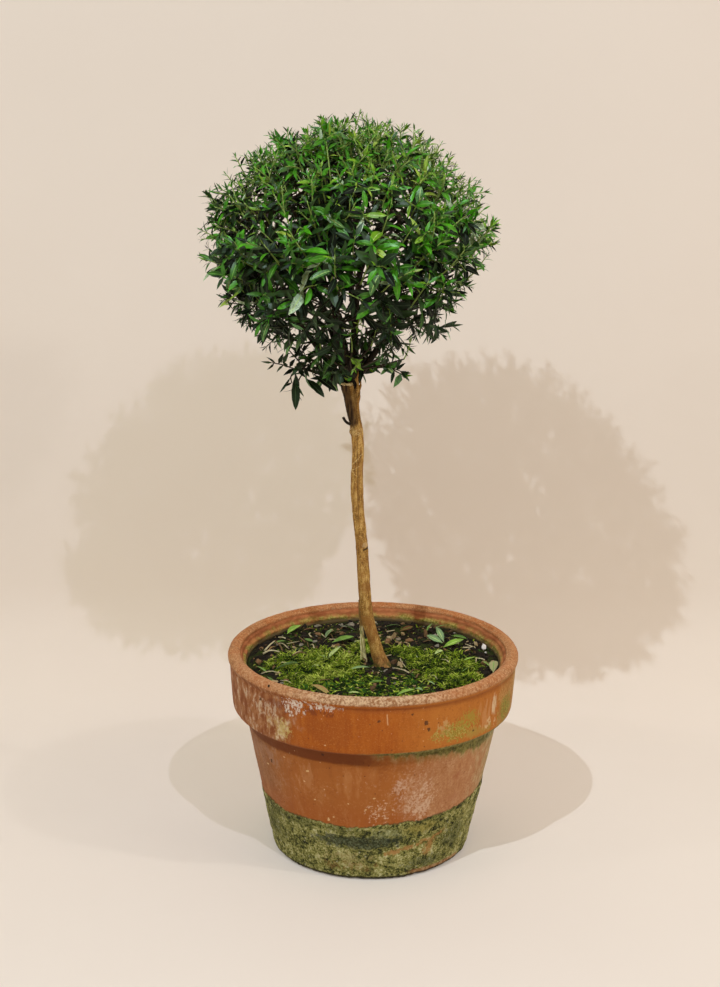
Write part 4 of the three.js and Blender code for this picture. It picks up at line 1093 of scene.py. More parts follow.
class Leaves:
    """Gathers leaves as rows of numbers, then makes each mass's leaves in one go."""

    def __init__(self):
        self.rows = []

    def add(self, at, along, face, length, width, fold, curl, sway, colour, rib):
        self.rows.append((*at, *along, *face, length, width, fold, curl, sway, colour, rib))


BIG_U = np.array([0, 0.08, 0.24, 0.46, 0.68, 0.88])
BIG_W = np.array([0.11, 0.20, 0.70, 1.0, 0.90, 0.46])
BIG_C = np.array([-1, -0.09, 0.09, 1])
SMALL_U = np.array([0, 0.34, 0.70])
SMALL_W = np.array([0.16, 1.0, 0.62])
SMALL_C = np.array([-1.0, 0, 1.0])


def blades(rows, U, W, C):
    """Every leaf's corners at once: rows of the blade along U, columns across C, and the tip."""
    r = np.asarray(rows, float)
    at, a, n = r[:, 0:3], unit(r[:, 3:6]), r[:, 6:9]
    length, width, fold, curl, sway = (r[:, k] for k in range(9, 14))
    n = unit(n - np.sum(n * a, 1, keepdims=True) * a)
    b = np.cross(a, n)
    us = np.append(U, 1.0)
    steps = np.linspace(0, 1, 21)
    ang = 0.16 - curl[:, None] * steps[None]
    cx = np.concatenate([np.zeros((len(r), 1)), np.cumsum((np.cos(ang[:, 1:]) + np.cos(ang[:, :-1])) / 2, 1)], 1) / 20
    cn = np.concatenate([np.zeros((len(r), 1)), np.cumsum((np.sin(ang[:, 1:]) + np.sin(ang[:, :-1])) / 2, 1)], 1) / 20
    idx = us * 20
    lo = np.minimum(idx.astype(int), 19)
    f = idx - lo
    px = (cx[:, lo] * (1 - f) + cx[:, lo + 1] * f) * length[:, None]
    pn = (cn[:, lo] * (1 - f) + cn[:, lo + 1] * f) * length[:, None]
    pb = sway[:, None] * length[:, None] * us[None] ** 2
    mid = at[:, None] + px[..., None] * a[:, None] + pn[..., None] * n[:, None] + pb[..., None] * b[:, None]
    th = 0.16 - curl[:, None] * us[None]
    nu = np.cos(th)[..., None] * n[:, None] - np.sin(th)[..., None] * a[:, None]
    tw = sway[:, None] * 1.4 * us[None]
    bu = np.cos(tw)[..., None] * b[:, None] + np.sin(tw)[..., None] * nu
    nu = np.cos(tw)[..., None] * nu - np.sin(tw)[..., None] * b[:, None]
    w = (W[None] * width[:, None] / 2)[:, :, None]
    across = w * C[None, None] * np.cos(fold)[:, None, None]
    lift = w * np.abs(C)[None, None] * np.sin(fold)[:, None, None]
    k = len(U)
    v = mid[:, :k, None] + across[..., None] * bu[:, :k, None] + lift[..., None] * nu[:, :k, None]
    v = v.reshape(len(r), -1, 3)
    v = np.concatenate([v, mid[:, k:]], 1)
    c = len(C)
    quad = [(i * c + j, i * c + j + 1, (i + 1) * c + j + 1, (i + 1) * c + j) for i in range(k - 1) for j in range(c - 1)]
    tri = [((k - 1) * c + j, (k - 1) * c + j + 1, k * c) for j in range(c - 1)]
    return v, np.array(quad), np.array(tri), r[:, 14].astype(int), r[:, 15].astype(int)


def leaf_bag(leaves, big=12.5):
    bag = Bag()
    r = np.array(leaves.rows)
    for rows, U, W, C in ((r[r[:, 9] >= big], BIG_U, BIG_W, BIG_C), (r[r[:, 9] < big], SMALL_U, SMALL_W, SMALL_C)):
        if not len(rows):
            continue
        v, quad, tri, colour, rib = blades(rows, U, W, C)
        n, m = v.shape[:2]
        base = np.arange(n)[:, None, None] * m
        rib_col = len(C) == 4
        qm = np.repeat(colour[:, None], len(quad), 1)
        tm = np.repeat(colour[:, None], len(tri), 1)
        if rib_col:
            qm[:, 1::3] = (len(GREENS) + rib)[:, None]
            tm[:, 1] = len(GREENS) + rib
        bag.add(v.reshape(-1, 3), (tri[None] + base).reshape(-1, 3), (quad[None] + base).reshape(-1, 4), tm.ravel(), qm.ravel())
    return bag


def turned(v, axis, angle):
    c, s = math.cos(angle), math.sin(angle)
    return v * c + np.cross(axis, v) * s + axis * (axis @ v) * (1 - c)


UP = np.array([0.0, 0, 1])


def leafy(path, leaves, stems, start, tip_gap, size, wide, tones, droop=0.0, young=1.0, stem_r=(0.62, 0.34), bare=0.0, spread=3.3, dark=False, tip_grow=0.36, tip_open=38):
    """Opposite pairs of leaves up one straight shoot, each pair square to the one below, smaller towards the tip."""
    step = np.linalg.norm(np.diff(path, axis=0), axis=1)
    cum = np.concatenate([[0], np.cumsum(step)])
    total = cum[-1]
    t, s, b = frames(path, rng.normal(size=3))
    # the stem takes the second, near-black material when dark is set: painted shade for low or inner shoots
    stems.append((path, np.linspace(stem_r[0], stem_r[1], len(path)), 5, int(dark)))
    d = total - 0.4
    turn = rng.uniform(0, math.pi)
    k = 0
    while d > start:
        far = total - d
        at = np.array([np.interp(d, cum, path[:, i]) for i in range(3)])
        j = min(len(path) - 1, int(np.searchsorted(cum, d)))
        tt, ss, bb = t[j], s[j], b[j]
        grow = min(1.0, tip_grow + (1 - tip_grow) * (far / 15.0) ** 0.8)
        open_angle = math.radians(tip_open + (67 - tip_open) * min(1.0, far / 8.0) + rng.normal() * 8)
        for side in (0, math.pi):
            if far > 10 and rng.random() < bare:
                continue
            a = turn + side + rng.normal() * 0.16
            sideways = math.cos(a) * ss + math.sin(a) * bb
            ang = open_angle + rng.normal() * 0.12
            along = math.cos(ang) * tt + math.sin(ang) * sideways
            face = unit(math.cos(ang) * -sideways + math.sin(ang) * tt)
            pull = 0.30 * min(1.0, far / 12)
            face = unit(face + pull * UP + rng.normal(size=3) * 0.10)
            along = unit(along - UP * droop * min(1.0, far / 14) + rng.normal(size=3) * 0.06)
            l = size * grow * rng.uniform(0.84, 1.14)
            w = l * wide * rng.uniform(0.86, 1.14) * (0.82 if l < 8 else 1.0)
            fold = rng.uniform(0.10, 0.42)
            curl = rng.uniform(0.25, 0.85) + (0.25 if far > 12 else 0.0)
            p = tones[1] if far < 7 * young else tones[0]
            out = at - CROWN
            far_out = np.linalg.norm(out) / float(reach(unit(out))[0])
            # leaves that sit well inside the crown's outline take the third, darkest tones: painted shade
            if rng.random() < (0.86 - far_out) / 0.12:
                p = tones[2]
            colour = int(rng.choice(len(GREENS), p=p))
            rib = 0 if colour < 3 else (1 if colour < 6 else 2)
            leaves.add(at + sideways * 0.4, along, face, l, w, fold, curl, rng.normal() * 0.10, colour, rib)
        turn += math.pi / 2 + rng.normal() * 0.08
        d -= rng.uniform(0.85, 1.2) * (tip_gap + spread * min(1.0, far / 11))
        k += 1
    # the closed bud of tiny leaves at the tip
    for q in range(2):
        a = turn + q * math.pi
        sideways = math.cos(a) * s[-1] + math.sin(a) * b[-1]
        along = unit(t[-1] + 0.22 * sideways)
        leaves.add(path[-1], along, -sideways, size * 0.30, size * 0.30 * wide * 0.8, 0.3, 0.2, 0.0, int(rng.choice(len(GREENS), p=tones[1])), 2)


def mixed(*pairs):
    p = np.zeros(len(GREENS))
    for i, w in pairs:
        p[i] = w
    return p / p.sum()


def tones_at(d, depth):
    """The mix of old and young leaf colours for a shoot in direction d, depth 1 at the outline. Painted light and
    shade: shoots inside the crown and low down take dark shades, high ones and those to the right lighter, yellower
    ones.
    """
    light = float(np.clip(0.53 + (0.64 if d[2] > 0 else 0.95) * d[2] + 0.10 * d[0], 0, 1))
    if depth < 0.86:
        old = mixed((0, 4), (1, 4), (2, 2.0), (3, 0.6))
        return old, mixed((0, 2), (1, 3), (2, 3), (3, 1))
    right = float(np.clip(0.25 + 0.9 * d[0] + 0.35 * d[2], 0, 1))
    low = mixed((0, 4.2), (1, 3.8), (2, 2.1), (3, 0.8), (4, 0.3), (8, 1.3), (9, 0.8))
    sun = float(np.clip(right * (0.4 + 1.2 * d[2]), 0, 1))
    high = mixed((0, 0.9), (1, 1.1), (2, 1.2), (3, 2.2), (4, 5.2), (5, 5.0), (6, 0.4 + 2.0 * sun), (7, 0.1 + 0.8 * sun), (8, 1.1), (9, 2.4 if d[2] < 0.45 else 0.9))
    young_low = mixed((0, 1.5), (1, 2.4), (2, 3), (3, 1.6), (4, 0.5))
    young_high = mixed((2, 2.2), (3, 2.8), (4, 2.4), (5, 1.8 + right), (6, 0.8 + 2.4 * sun), (7, 0.3 + 1.6 * sun))
    return low * (1 - light) + high * light, young_low * (1 - light) + young_high * light


def make_targets():
    """Where each shoot ends, which way it points and how long it is."""
    out = []
    count = 690
    k = np.arange(count) + 0.5
    z = 1 - 2 * k / count
    a = k * math.pi * (3 - math.sqrt(5))
    d = np.c_[np.sqrt(1 - z * z) * np.cos(a), np.sqrt(1 - z * z) * np.sin(a), z]
    d = unit(d + rng.normal(size=d.shape) * 0.055)
    for v in d:
        keep = np.interp(v[2], [-1, -0.85, -0.6, -0.35, -0.1, 0.2, 1], [0.0, 0.22, 0.41, 0.53, 0.70, 0.90, 1.0])
        if v[2] < -0.12:
            keep *= 1 - 0.15 * max(0, v[0]) - 0.25 * abs(v[1])
        if rng.random() > keep:
            continue
        far = float(reach(v)[0]) * rng.uniform(0.91, 1.035)
        lift = np.interp(v[2], [-1, -0.5, 0, 0.6, 1], [-0.15, 0.05, 0.42, 0.42, 0.15])
        aim = unit(v * 0.8 + UP * lift + rng.normal(size=3) * 0.34)
        if aim @ v < 0.55:
            aim = unit(aim + v * (0.75 - aim @ v))
        length = rng.uniform(24, 42) * (0.9 if v[2] > 0.4 else 1.0)
        out.append((CROWN + v * far, aim, length, v, 1.0))
    for _ in range(124):
        v = unit(rng.normal(size=3))
        if v[2] < -0.15:
            continue
        depth = rng.uniform(0.22, 0.78)
        aim = unit(v * 0.55 + UP * 0.4 + rng.normal(size=3) * 0.6)
        out.append((CROWN + v * float(reach(v)[0]) * depth, aim, rng.uniform(16, 30), v, depth))
    return out


targets = make_targets()
names = [n for n in masses if "tuft" not in n]
centres = np.array([masses[n] for n in names])
groups = {n: [] for n in masses}
for q in targets:
    groups[names[int(np.argmin(np.linalg.norm(centres - q[0], axis=1)))]].append(q)
for tuft, n, half, aims in (
    ("leaves_tuft_left", 1, (13, 10, 13), (-0.35, -0.15, -0.65)),
    ("leaves_tuft_right", 1, (9, 8, 8), (0.7, -0.2, -0.15)),
):
    for _ in range(n):
        v = unit(rng.normal(size=3) + np.array(aims) * 1.1)
        aim = unit(v * 0.7 + np.array(aims) * 0.6 + rng.normal(size=3) * 0.25)
        groups[tuft].append((masses[tuft] + v * half, aim, rng.uniform(14, 24), np.array([aims[0], -0.3, -0.75]), 0.95))


def branch(start, heading, goals, twigs, level=0):
    """Splits the shoots it still has to reach into two nearby halves, and forks towards each."""
    if len(goals) == 1:
        g = goals[0]
        foot = g["foot"]
        gap = np.linalg.norm(foot - start)
        mid = start + heading * gap * 0.30
        near = foot - unit(g["aim"] + 1.1 * unit(foot - start)) * gap * 0.28
        path = spline([start, mid, near, foot], max(5, int(gap / 6)))
        twigs.append((path, np.linspace(0.74, 0.56, len(path)), 5))
        return
    feet = np.array([g["foot"] for g in goals])
    centre = feet.mean(0)
    _, _, vt = np.linalg.svd(feet - centre, full_matrices=False)
    order = np.argsort((feet - centre) @ vt[0])
    cut = int(round(len(goals) * rng.uniform(0.38, 0.62)))
    cut = min(max(cut, 1), len(goals) - 1)
    for half in (order[:cut], order[cut:]):
        part = [goals[k] for k in half]
        c = feet[half].mean(0)
        gap = np.linalg.norm(c - start)
        if len(part) == 1:
            branch(start, unit(heading * 0.5 + unit(c - start)), part, twigs, level + 1)
            continue
        go = rng.uniform(0.30, 0.44) if len(part) > 4 else rng.uniform(0.42, 0.6)
        fork = start + (c - start) * go + rng.normal(size=3) * gap * 0.045 + UP * gap * 0.02
        way = unit(fork - start)
        path = spline([start, start + (heading * 0.45 + way * 0.55) * np.linalg.norm(fork - start) * 0.5, fork], max(4, int(gap * go / 6)))
        r0 = min(1.35, 0.55 * len(part) ** 0.30 + 0.1)
        nxt = max(0.62, r0 * 0.84)
        twigs.append((path, np.linspace(r0, nxt, len(path)), 6))
        branch(fork, unit(way * 0.8 + heading * 0.2), part, twigs, level + 1)


def tubes(items, name, mats, slot, nodes=()):
    bag = Bag()
    for path, radii, sides, *m in items:
        v, tri, quad = tube(path, radii, sides, (False, True))
        m = m[0] if m else 0
        bag.add(v, tri, quad, m, m)
    return settle(bag.make(name, mats), slot, *nodes)


def from_boughs(reach_to, count):
    """Short shoots straight off the lower boughs, which close the funnel over the fork with sparse leaves, most of them
    in dark tones that paint the shade under the head.
    """
    out = {}
    lines = [(b[3], spline(b[0], 60)) for n, b in boughs.items() if "upper" not in n]
    for k in range(count):
        name, line = lines[k % len(lines)]
        s = int((0.10 + 0.86 * rng.random() ** 0.9) * (len(line) - 1))
        at = line[s]
        if at[2] > reach_to:
            continue
        out_way = unit((at - HEAD) * [1, 1, 0] + 1e-3)
        aim = unit(out_way * rng.uniform(0.1, 0.9) + UP * rng.uniform(-0.30, 0.75) + rng.normal(size=3) * 0.55)
        tip = at + aim * rng.uniform(15, 30)
        flat = math.hypot(tip[0] - HEAD[0], tip[1])
        if tip[2] < 343 or tip[2] < 353 and flat < 12 or tip[0] > 0 and tip[2] < 368 or tip[0] > 0 and tip[2] < 384 and k % 2:
            continue
        if tip[1] < -2 and abs(tip[0] - HEAD[0]) < 15 and tip[2] < 356:
            continue  # the cut head shows from in front
        out.setdefault(name, []).append((at, tip, aim))
    return out


funnel = from_boughs(412, 84)
BY_HAND = {  # single leaves that hang clear under the head: foot, tip, width, colour
    "leaves_tuft_left": [
        ((-54.0, -11.0, 352.0), (-55.5, -14.0, 328.1), 6.6, 1), ((-46.4, -11.0, 349.0), (-34.2, -15.0, 337.1), 6.2, 1), ((-41.2, -8.0, 351.2), (-25.1, -11.0, 341.3), 5.0, 0),
        ((-29.0, -8.0, 345.3), (-31.0, -10.0, 339.8), 3.0, 1), ((-57.1, -10.0, 350.2), (-63.9, -13.0, 339.2), 1.8, 1), ((-56.4, -10.0, 345.9), (-62.4, -12.0, 343.5), 1.6, 0),
        ((-51.5, -11.0, 342.7), (-49.0, -13.0, 336.5), 1.8, 2), ((-54.9, -8.0, 355.3), (-62.4, -11.0, 351.7), 3.0, 0), ((-51.9, -8.0, 354.5), (-47.9, -12.0, 349.9), 3.6, 1),
        ((-52.6, -8.0, 356.1), (-56.3, -12.0, 351.0), 3.2, 2), ((-48.8, -8.0, 353.8), (-54.1, -10.0, 358.0), 3.2, 1), ((-59.5, -8.0, 356.3), (-62.4, -10.0, 361.1), 2.6, 1),
        ((-58.0, -7.0, 356.6), (-54.1, -9.0, 362.5), 3.4, 0), ((-62.5, -8.0, 357.6), (-67.0, -10.0, 353.3), 2.2, 2), ((-68.7, -7.0, 358.9), (-73.2, -9.0, 354.3), 1.8, 1),
        ((-70.2, -7.0, 359.2), (-77.7, -8.0, 360.6), 1.8, 2), ((-67.9, -7.0, 358.9), (-73.9, -8.0, 363.4), 1.8, 1), ((-65.7, -6.0, 358.2), (-62.5, -8.0, 366.1), 3.0, 1),
        ((-62.6, -6.0, 358.7), (-58.7, -8.0, 366.6), 3.2, 2), ((-44.3, -5.0, 354.8), (-39.6, -8.0, 362.4), 3.6, 0), ((-41.2, -6.0, 352.6), (-35.0, -9.0, 354.1), 2.4, 1),
        ((-35.1, -5.0, 349.4), (-32.0, -7.0, 356.0), 2.0, 6), ((-32.1, -5.0, 347.8), (-28.2, -7.0, 353.7), 2.0, 6), ((-48.1, -7.0, 354.4), (-44.2, -10.0, 350.3), 3.0, 2),
        ((-53.5, -5.0, 355.5), (-49.6, -7.0, 360.6), 3.4, 1),
    ],
    "leaves_tuft_right": [
        ((18.8, -7.0, 352.0), (15.5, -10.0, 342.6), 5.2, 8), ((14.1, -6.0, 353.6), (12.3, -9.0, 345.5), 2.8, 1), ((21.4, -7.0, 350.6), (27.0, -9.0, 351.6), 1.7, 6),
        ((21.4, -7.0, 350.6), (24.0, -8.0, 353.8), 1.6, 3), ((22.1, -7.0, 350.1), (24.8, -9.0, 347.1), 1.6, 2), ((19.9, -7.0, 351.7), (21.4, -9.0, 349.0), 1.8, 3),
        ((9.2, -6.0, 355.8), (4.9, -9.0, 351.7), 3.0, 8), ((6.1, -6.0, 356.4), (12.2, -9.0, 352.3), 2.6, 2), ((1.5, -5.0, 357.1), (0.0, -8.0, 353.3), 2.8, 3),
        ((-3.0, -5.0, 355.8), (0.0, -8.0, 352.7), 2.0, 6), ((4.6, -5.0, 356.8), (-0.0, -8.0, 361.4), 3.6, 4), ((7.7, -5.0, 356.5), (13.7, -8.0, 359.6), 4.4, 3),
        ((12.2, -6.0, 356.1), (16.4, -9.0, 361.0), 4.0, 4), ((6.1, -5.0, 357.4), (7.9, -8.0, 364.2), 4.4, 2), ((0.0, -4.0, 357.8), (-3.9, -8.0, 364.1), 4.0, 3),
        ((3.1, -4.0, 357.8), (3.0, -8.0, 365.7), 3.6, 8), ((13.8, -5.0, 355.3), (19.8, -8.0, 362.7), 3.4, 2), ((15.3, -6.0, 354.5), (22.1, -9.0, 359.5), 2.8, 1),
        ((-4.6, -4.0, 355.0), (-7.3, -7.0, 359.3), 2.8, 6), ((-6.1, -4.0, 354.0), (-2.3, -7.0, 358.4), 2.4, 4),
    ],
    "leaves_lower_front": [((-29.3, -18, 370.5), (-17.7, -22, 373.3), 4.2, 3), ((-16.3, -16, 363.2), (-8.4, -20, 361.9), 3.4, 8), ((-19.8, -12, 365.2), (-19.0, -14, 354.8), 3.6, 3), ((-7.3, -8, 356.1), (2.3, -10, 362.2), 3.2, 2), ((-27, -10, 362), (-35, -13, 356), 3.6, 0), ((-14, -10, 366), (-13, -13, 356), 3.4, 1), ((-25, -12, 366), (-27.5, -14, 356), 3.4, 1)],
}
for k in range(9):  # the bright young bud on top of the cut
    a = 2.4 * k
    BY_HAND["leaves_lower_front"].append(((-18.0, -6.3, 346.6 + 0.7 * k), (-18.1 + 3.4 * math.cos(a), -7.4 - 1.2 * math.sin(a), 349.6 + 0.85 * k), 2.6, 7 if k % 3 else 5))
TWIGS_BY_HAND = {
    "leaves_tuft_left": [
        [(-47, -4, 354.5), (-52.6, -8, 354.8), (-62.5, -8, 357.9), (-70.1, -8, 359.4)], [(-52.6, -8, 354.8), (-54.9, -8.6, 353.0), (-54.1, -10, 351.4)],
        [(-47, -4, 354.5), (-46.4, -9, 349.2)], [(-54.2, -9.6, 351.7), (-51.9, -9.6, 346.8), (-51.5, -10.6, 342.4)], [(-54.9, -8.6, 353.0), (-57.2, -9.6, 349.9), (-56.5, -9.8, 345.7)],
        [(-36.6, -4.4, 350.8), (-38.6, -6.6, 351.6), (-41.2, -7.8, 351.4)], [(-29.0, -4.3, 348.2), (-28.9, -7.4, 345.2)],
    ],
    "leaves_tuft_right": [
        [(12, -3, 357), (14.5, -6, 354.2), (19.0, -6.6, 351.8), (22.1, -6.8, 349.9)], [(6.1, -3, 356.0), (6.1, -5.0, 357.4), (3.1, -4.4, 358.2)],
        [(0, -3, 354.8), (0.6, -4.6, 357), (-3, -4.6, 356)], [(-5.3, -3, 353.0), (-5.8, -4.2, 355.2)],
    ],
}
HAND_SHOOTS = [  # pale young shoots in front of the fork
    ((11.2, -46.0, 374.5), (9.5, -49.0, 406.0), 8.5),
    ((-2.1, -40.0, 377.4), (1.7, -43.0, 396.2), 8.0),
    ((20.4, -30.0, 366.8), (24.8, -33.0, 381.8), 8.0),
    ((-14.9, -34.0, 372.1), (-16.9, -37.0, 387.7), 7.5),
    ((-35.6, -40.0, 373.1), (-39.6, -43.0, 391.3), 8.5),
]
for name, goals in groups.items():
    leaves, stems, twigs, bases = Leaves(), [], [], []
    for tip, aim, length, v, depth in goals:
        foot = tip - aim * length
        bend = unit(np.cross(aim, rng.normal(size=3))) * length * rng.uniform(0.02, 0.09)
        path = spline([foot, foot + aim * length * 0.5 + bend, tip], max(5, int(length / 5)))
        low = max(0.0, -v[2])
        old, new = tones_at(v, depth)
        # painted shade: the darkest tones, for leaves well inside the crown's outline
        deep = mixed((0, 3), (1, 3.5), (2, 2.0), (3, 0.8 if v[2] > -0.1 else 0.1))
        tuft = "tuft" in name
        front = np.clip(-v[1], 0, 1)
        size = rng.uniform(11.0, 16.0) + 2.0 * low + 5.0 * front * float(np.interp(v[2], [-0.6, -0.3, 0.45, 0.7], [0.5, 1, 1, 0]))
        if v[2] > 0.35:
            size = min(size * 0.93, 13.2)
        if depth < 0.9:
            size = rng.uniform(13, 17)
        if tuft:
            size = rng.uniform(12, 17)
        rim = 1 - abs(v[1])
        wide = rng.uniform(0.25, 0.36) - 0.035 * rim
        if tuft:
            wide = rng.uniform(0.25, 0.33)
        droop = 0.08 + 0.45 * low + (0.3 if tuft else 0)
        outer = depth > 0.9
        spread = rng.uniform(3.0, 4.2) if v[2] < 0.45 else rng.uniform(2.2, 3.2)
        leafy(path, leaves, stems, 0.14 * length, rng.uniform(2.4, 3.3), size, wide, (old, new, deep), droop, rng.uniform(0.6, 1.6), (0.62, 0.34), 0.07 + 0.50 * low + 0.10 * max(0, v[0]), spread + (1.5 if tuft else 0), v[2] < -0.30 or not outer, 0.55 if tuft else 0.38)
        if outer and not tuft:
            for _ in range(int(rng.random() < 0.70 - 0.25 * front) + int(rng.random() < 0.22 + 0.3 * max(0, v[2]))):
                s = rng.uniform(0.25, 0.75)
                at = path[int(s * (len(path) - 1))]
                way = unit(aim * 0.75 + rng.normal(size=3) * 0.60)
                l2 = rng.uniform(9, 17)
                p2 = spline([at, at + way * l2 * 0.5, at + way * l2 + rng.normal(size=3) * 0.8], 5)
                leafy(p2, leaves, stems, 2.5, rng.uniform(2.1, 2.9), size * 0.68, wide * 0.95, (new, new, new), droop * 0.6, 1.3, (0.45, 0.28), 0.05, 2.2, v[2] < -0.30)
        bases.append({"foot": foot, "aim": aim})
    for at, tip, aim in funnel.get(name, ()):
        l = np.linalg.norm(tip - at)
        sag = unit(aim + rng.normal(size=3) * 0.3)
        path = spline([at, at + sag * l * 0.5, tip], 6)
        pale = rng.random() < 0.12 and abs(tip[0] - HEAD[0] + 4) < 14
        # painted shade: all but the pale young shoots take dark tones
        tone = mixed((6, 3), (7, 2), (5, 1)) if pale else mixed((0, 1.8), (1, 3.2), (2, 3.2), (3, 2.0), (4, 0.5), (8, 1.5))
        size = rng.uniform(9, 12) if pale else rng.uniform(12, 19)
        leafy(path, leaves, stems, 0.30 * l, 2.8, size, rng.uniform(0.24, 0.36), (tone, tone, tone), 0.35, 1.0, (0.60, 0.32), 0.25, 3.4, not pale)
    for foot, tip, width, colour in BY_HAND.get(name, ()):
        foot, tip = np.array(foot, float), np.array(tip, float)
        face = unit(np.array([0.0, -1, 0.35]) + rng.normal(size=3) * 0.25)
        leaves.add(foot, tip - foot, face, np.linalg.norm(tip - foot) * 1.04, width, 0.25, 0.35, rng.normal() * 0.08, colour, 0 if colour < 3 else 1)
    for pts in TWIGS_BY_HAND.get(name, ()):
        path = spline(pts, 4 * len(pts))
        twigs.append((path, np.linspace(0.62, 0.34, len(path)), 5))
    if name == "leaves_tuft_left":
        for foot, tip, size in (((-48, -5, 356), (-65, -8, 377), 14.0), ((-40, -5, 352.6), (-50, -10, 371), 13.0), ((-34, -4.6, 350.4), (-37, -9, 366), 12.0)):
            path = spline([foot, (np.array(foot) + tip) / 2 + [-1.0, -0.8, 0.6], tip], 8)
            # painted shade: these hanging shoots take the darkest tones and near-black stems
            tone = mixed((0, 3), (1, 3), (2, 2), (3, 0.6))
            leafy(path, leaves, stems, 3.5, 3.2, size, 0.30, (tone, tone, tone), 0.32, 1.2, (0.55, 0.32), 0.25, 3.2, True)
    if name == "leaves_lower_front":
        for foot, tip, size in HAND_SHOOTS:
            path = spline([foot, (np.array(foot) + tip) / 2 + [0.8, -0.6, 0], tip], 8)
            tone = mixed((6, 2.6), (8, 2.0), (7, 1.0), (4, 1.4), (3, 1.0))
            leafy(path, leaves, stems, 5.0, 3.0, size, 0.30, (tone, tone, tone), 0.18, 1.0, (0.50, 0.30), 0.22, 3.0, False)
            twigs.append((spline([HEAD + [2.4, -10.5, 10.5], (np.array(foot) + HEAD) / 2 + [0, -4, 4], foot], 10), np.linspace(0.8, 0.5, 10), 5))
    pts = next(b for b in boughs.values() if b[3] == name)[0]
    line = spline(pts, 60)
    origin = line[-1] if "tuft" in name else line[50]
    head = unit(line[-1] - line[45])
    if "tuft" not in name:
        origin, head = line[-1], unit(line[-1] - line[-8])
        # shoots whose foot lies nearer the core start further down the bough
        early = [b for b in bases if (b["foot"] - line[-1]) @ head < -12]
        late = [b for b in bases if (b["foot"] - line[-1]) @ head >= -12]
        if len(early) > 1:
            branch(line[40], unit(line[41] - line[40]), early, twigs)
        else:
            late = bases
        branch(origin, head, late, twigs)
    else:
        branch(origin, head, bases, twigs)
    plain = name.replace("leaves_", "")
    settle(leaf_bag(leaves).make("foliage_" + plain, LEAF), "leaves", name)
    tubes(stems, "shoots_" + plain, [GREEN_STEM, SHADE_PAINTED_STEM], "leaves")
    tubes(twigs, "twigs_" + plain, [TWIG], "bark")

# ---------------------------------------------------------------------------------------------- soil, moss and litter
def ground(x, y):
    """Height of the soil's surface, in millimetres."""
    p = np.c_[x, y, np.full(len(x), 140.0)]
    r = np.hypot(x, y)
    z = 138.9 + 1.5 * fbm(p / 17, 101, 3) + 0.9 * fbm(p / 5.5, 103, 3)
    return z - 1.8 * smooth(r, 82, 92) + 0.5 * np.exp(-((np.hypot(x - 8, y + 10) / 9) ** 2))


def soil_mesh():
    bag = Bag()
    rings, n = 74, 230
    r = np.linspace(0, 1, rings + 1)[1:] ** 0.9 * 91.3
    a = np.arange(n) / n * 2 * math.pi
    A, R = np.meshgrid(a, r)
    x, y = (R * np.cos(A)).ravel(), (R * np.sin(A)).ravel()
    x = x + 0.4 * vnoise(np.c_[x, y, 0 * x] / 2.2, 7) * (R.ravel() < 90)
    z = ground(x, y)
    x = x + RIM_SHIFT * 139
    v = np.c_[x, y, z]
    c = len(v)
    i, j = np.arange(rings - 1)[:, None] * n, np.arange(n)[None]
    j2 = (j + 1) % n
    quad = np.stack([i + j, i + n + j, i + n + j2, i + j2], -1).reshape(-1, 4)
    tri = [(c, k, (k + 1) % n) for k in range(n)]
    v = np.vstack([v, [[RIM_SHIFT * 139, 0, 138.9]]])
    # the rest of the root ball, down to the floor of the pot
    low = []
    for h, rr in ((128, 88.5), (104, 82.6), (58, 72.4), (16, 62.8), (10.1, 60.2)):
        low.append(np.c_[rr * np.cos(a) + RIM_SHIFT * h, rr * np.sin(a), np.full(n, h)])
    base = len(v)
    v = np.vstack([v] + low + [[[0, 0, 10.1]]])
    ring = np.concatenate([(rings - 1) * n + np.arange(n)] + [base + k * n + np.arange(n) for k in range(5)]).reshape(6, n)
    more = np.stack([ring[:-1], ring[1:], np.roll(ring[1:], -1, 1), np.roll(ring[:-1], -1, 1)], -1).reshape(-1, 4)
    tri += [(len(v) - 1, ring[5][(k + 1) % n], ring[5][k]) for k in range(n)]
    bag.add(v, tri=tri, quad=np.vstack([quad, more]))
    return bag


def soil_look():
    k = Look("soil", rough=0.95, specular=0.15)
    lump, small = k.noise(4.5, 5, 0.65), k.noise(1.3, 4, 0.7)
    c = k.ramp(k.add(k.mul(lump, 0.5), k.mul(small, 0.5)), (0.36, srgb(11, 9, 6)), (0.50, srgb(26, 21, 14)), (0.62, srgb(56, 45, 29)), (0.74, srgb(112, 92, 62)))
    green = k.mul(k.step(k.noise(14, 3), 0.45, 0.62), 0.55)
    k.colour(k.mix(green, c, k.mix(small, srgb(20, 30, 8), srgb(72, 92, 22))))
    k.bump(k.add(k.mul(lump, 0.5), k.mul(small, 0.5)), 1.4, 0.9)
    return k.mat


settle(soil_mesh().make("soil_top", [soil_look()]), "soil", "soil")

ICO = []
g = (1 + math.sqrt(5)) / 2
for p in ((-1, g, 0), (1, g, 0), (-1, -g, 0), (1, -g, 0), (0, -1, g), (0, 1, g), (0, -1, -g), (0, 1, -g), (g, 0, -1), (g, 0, 1), (-g, 0, -1), (-g, 0, 1)):
    ICO.append(p)
ICO = unit(np.array(ICO, float))
ICO_F = np.array([(0, 11, 5), (0, 5, 1), (0, 1, 7), (0, 7, 10), (0, 10, 11), (1, 5, 9), (5, 11, 4), (11, 10, 2), (10, 7, 6), (7, 1, 8), (3, 9, 4), (3, 4, 2), (3, 2, 6), (3, 6, 8), (3, 8, 9), (4, 9, 5), (2, 4, 11), (6, 2, 10), (8, 6, 7), (9, 8, 1)])


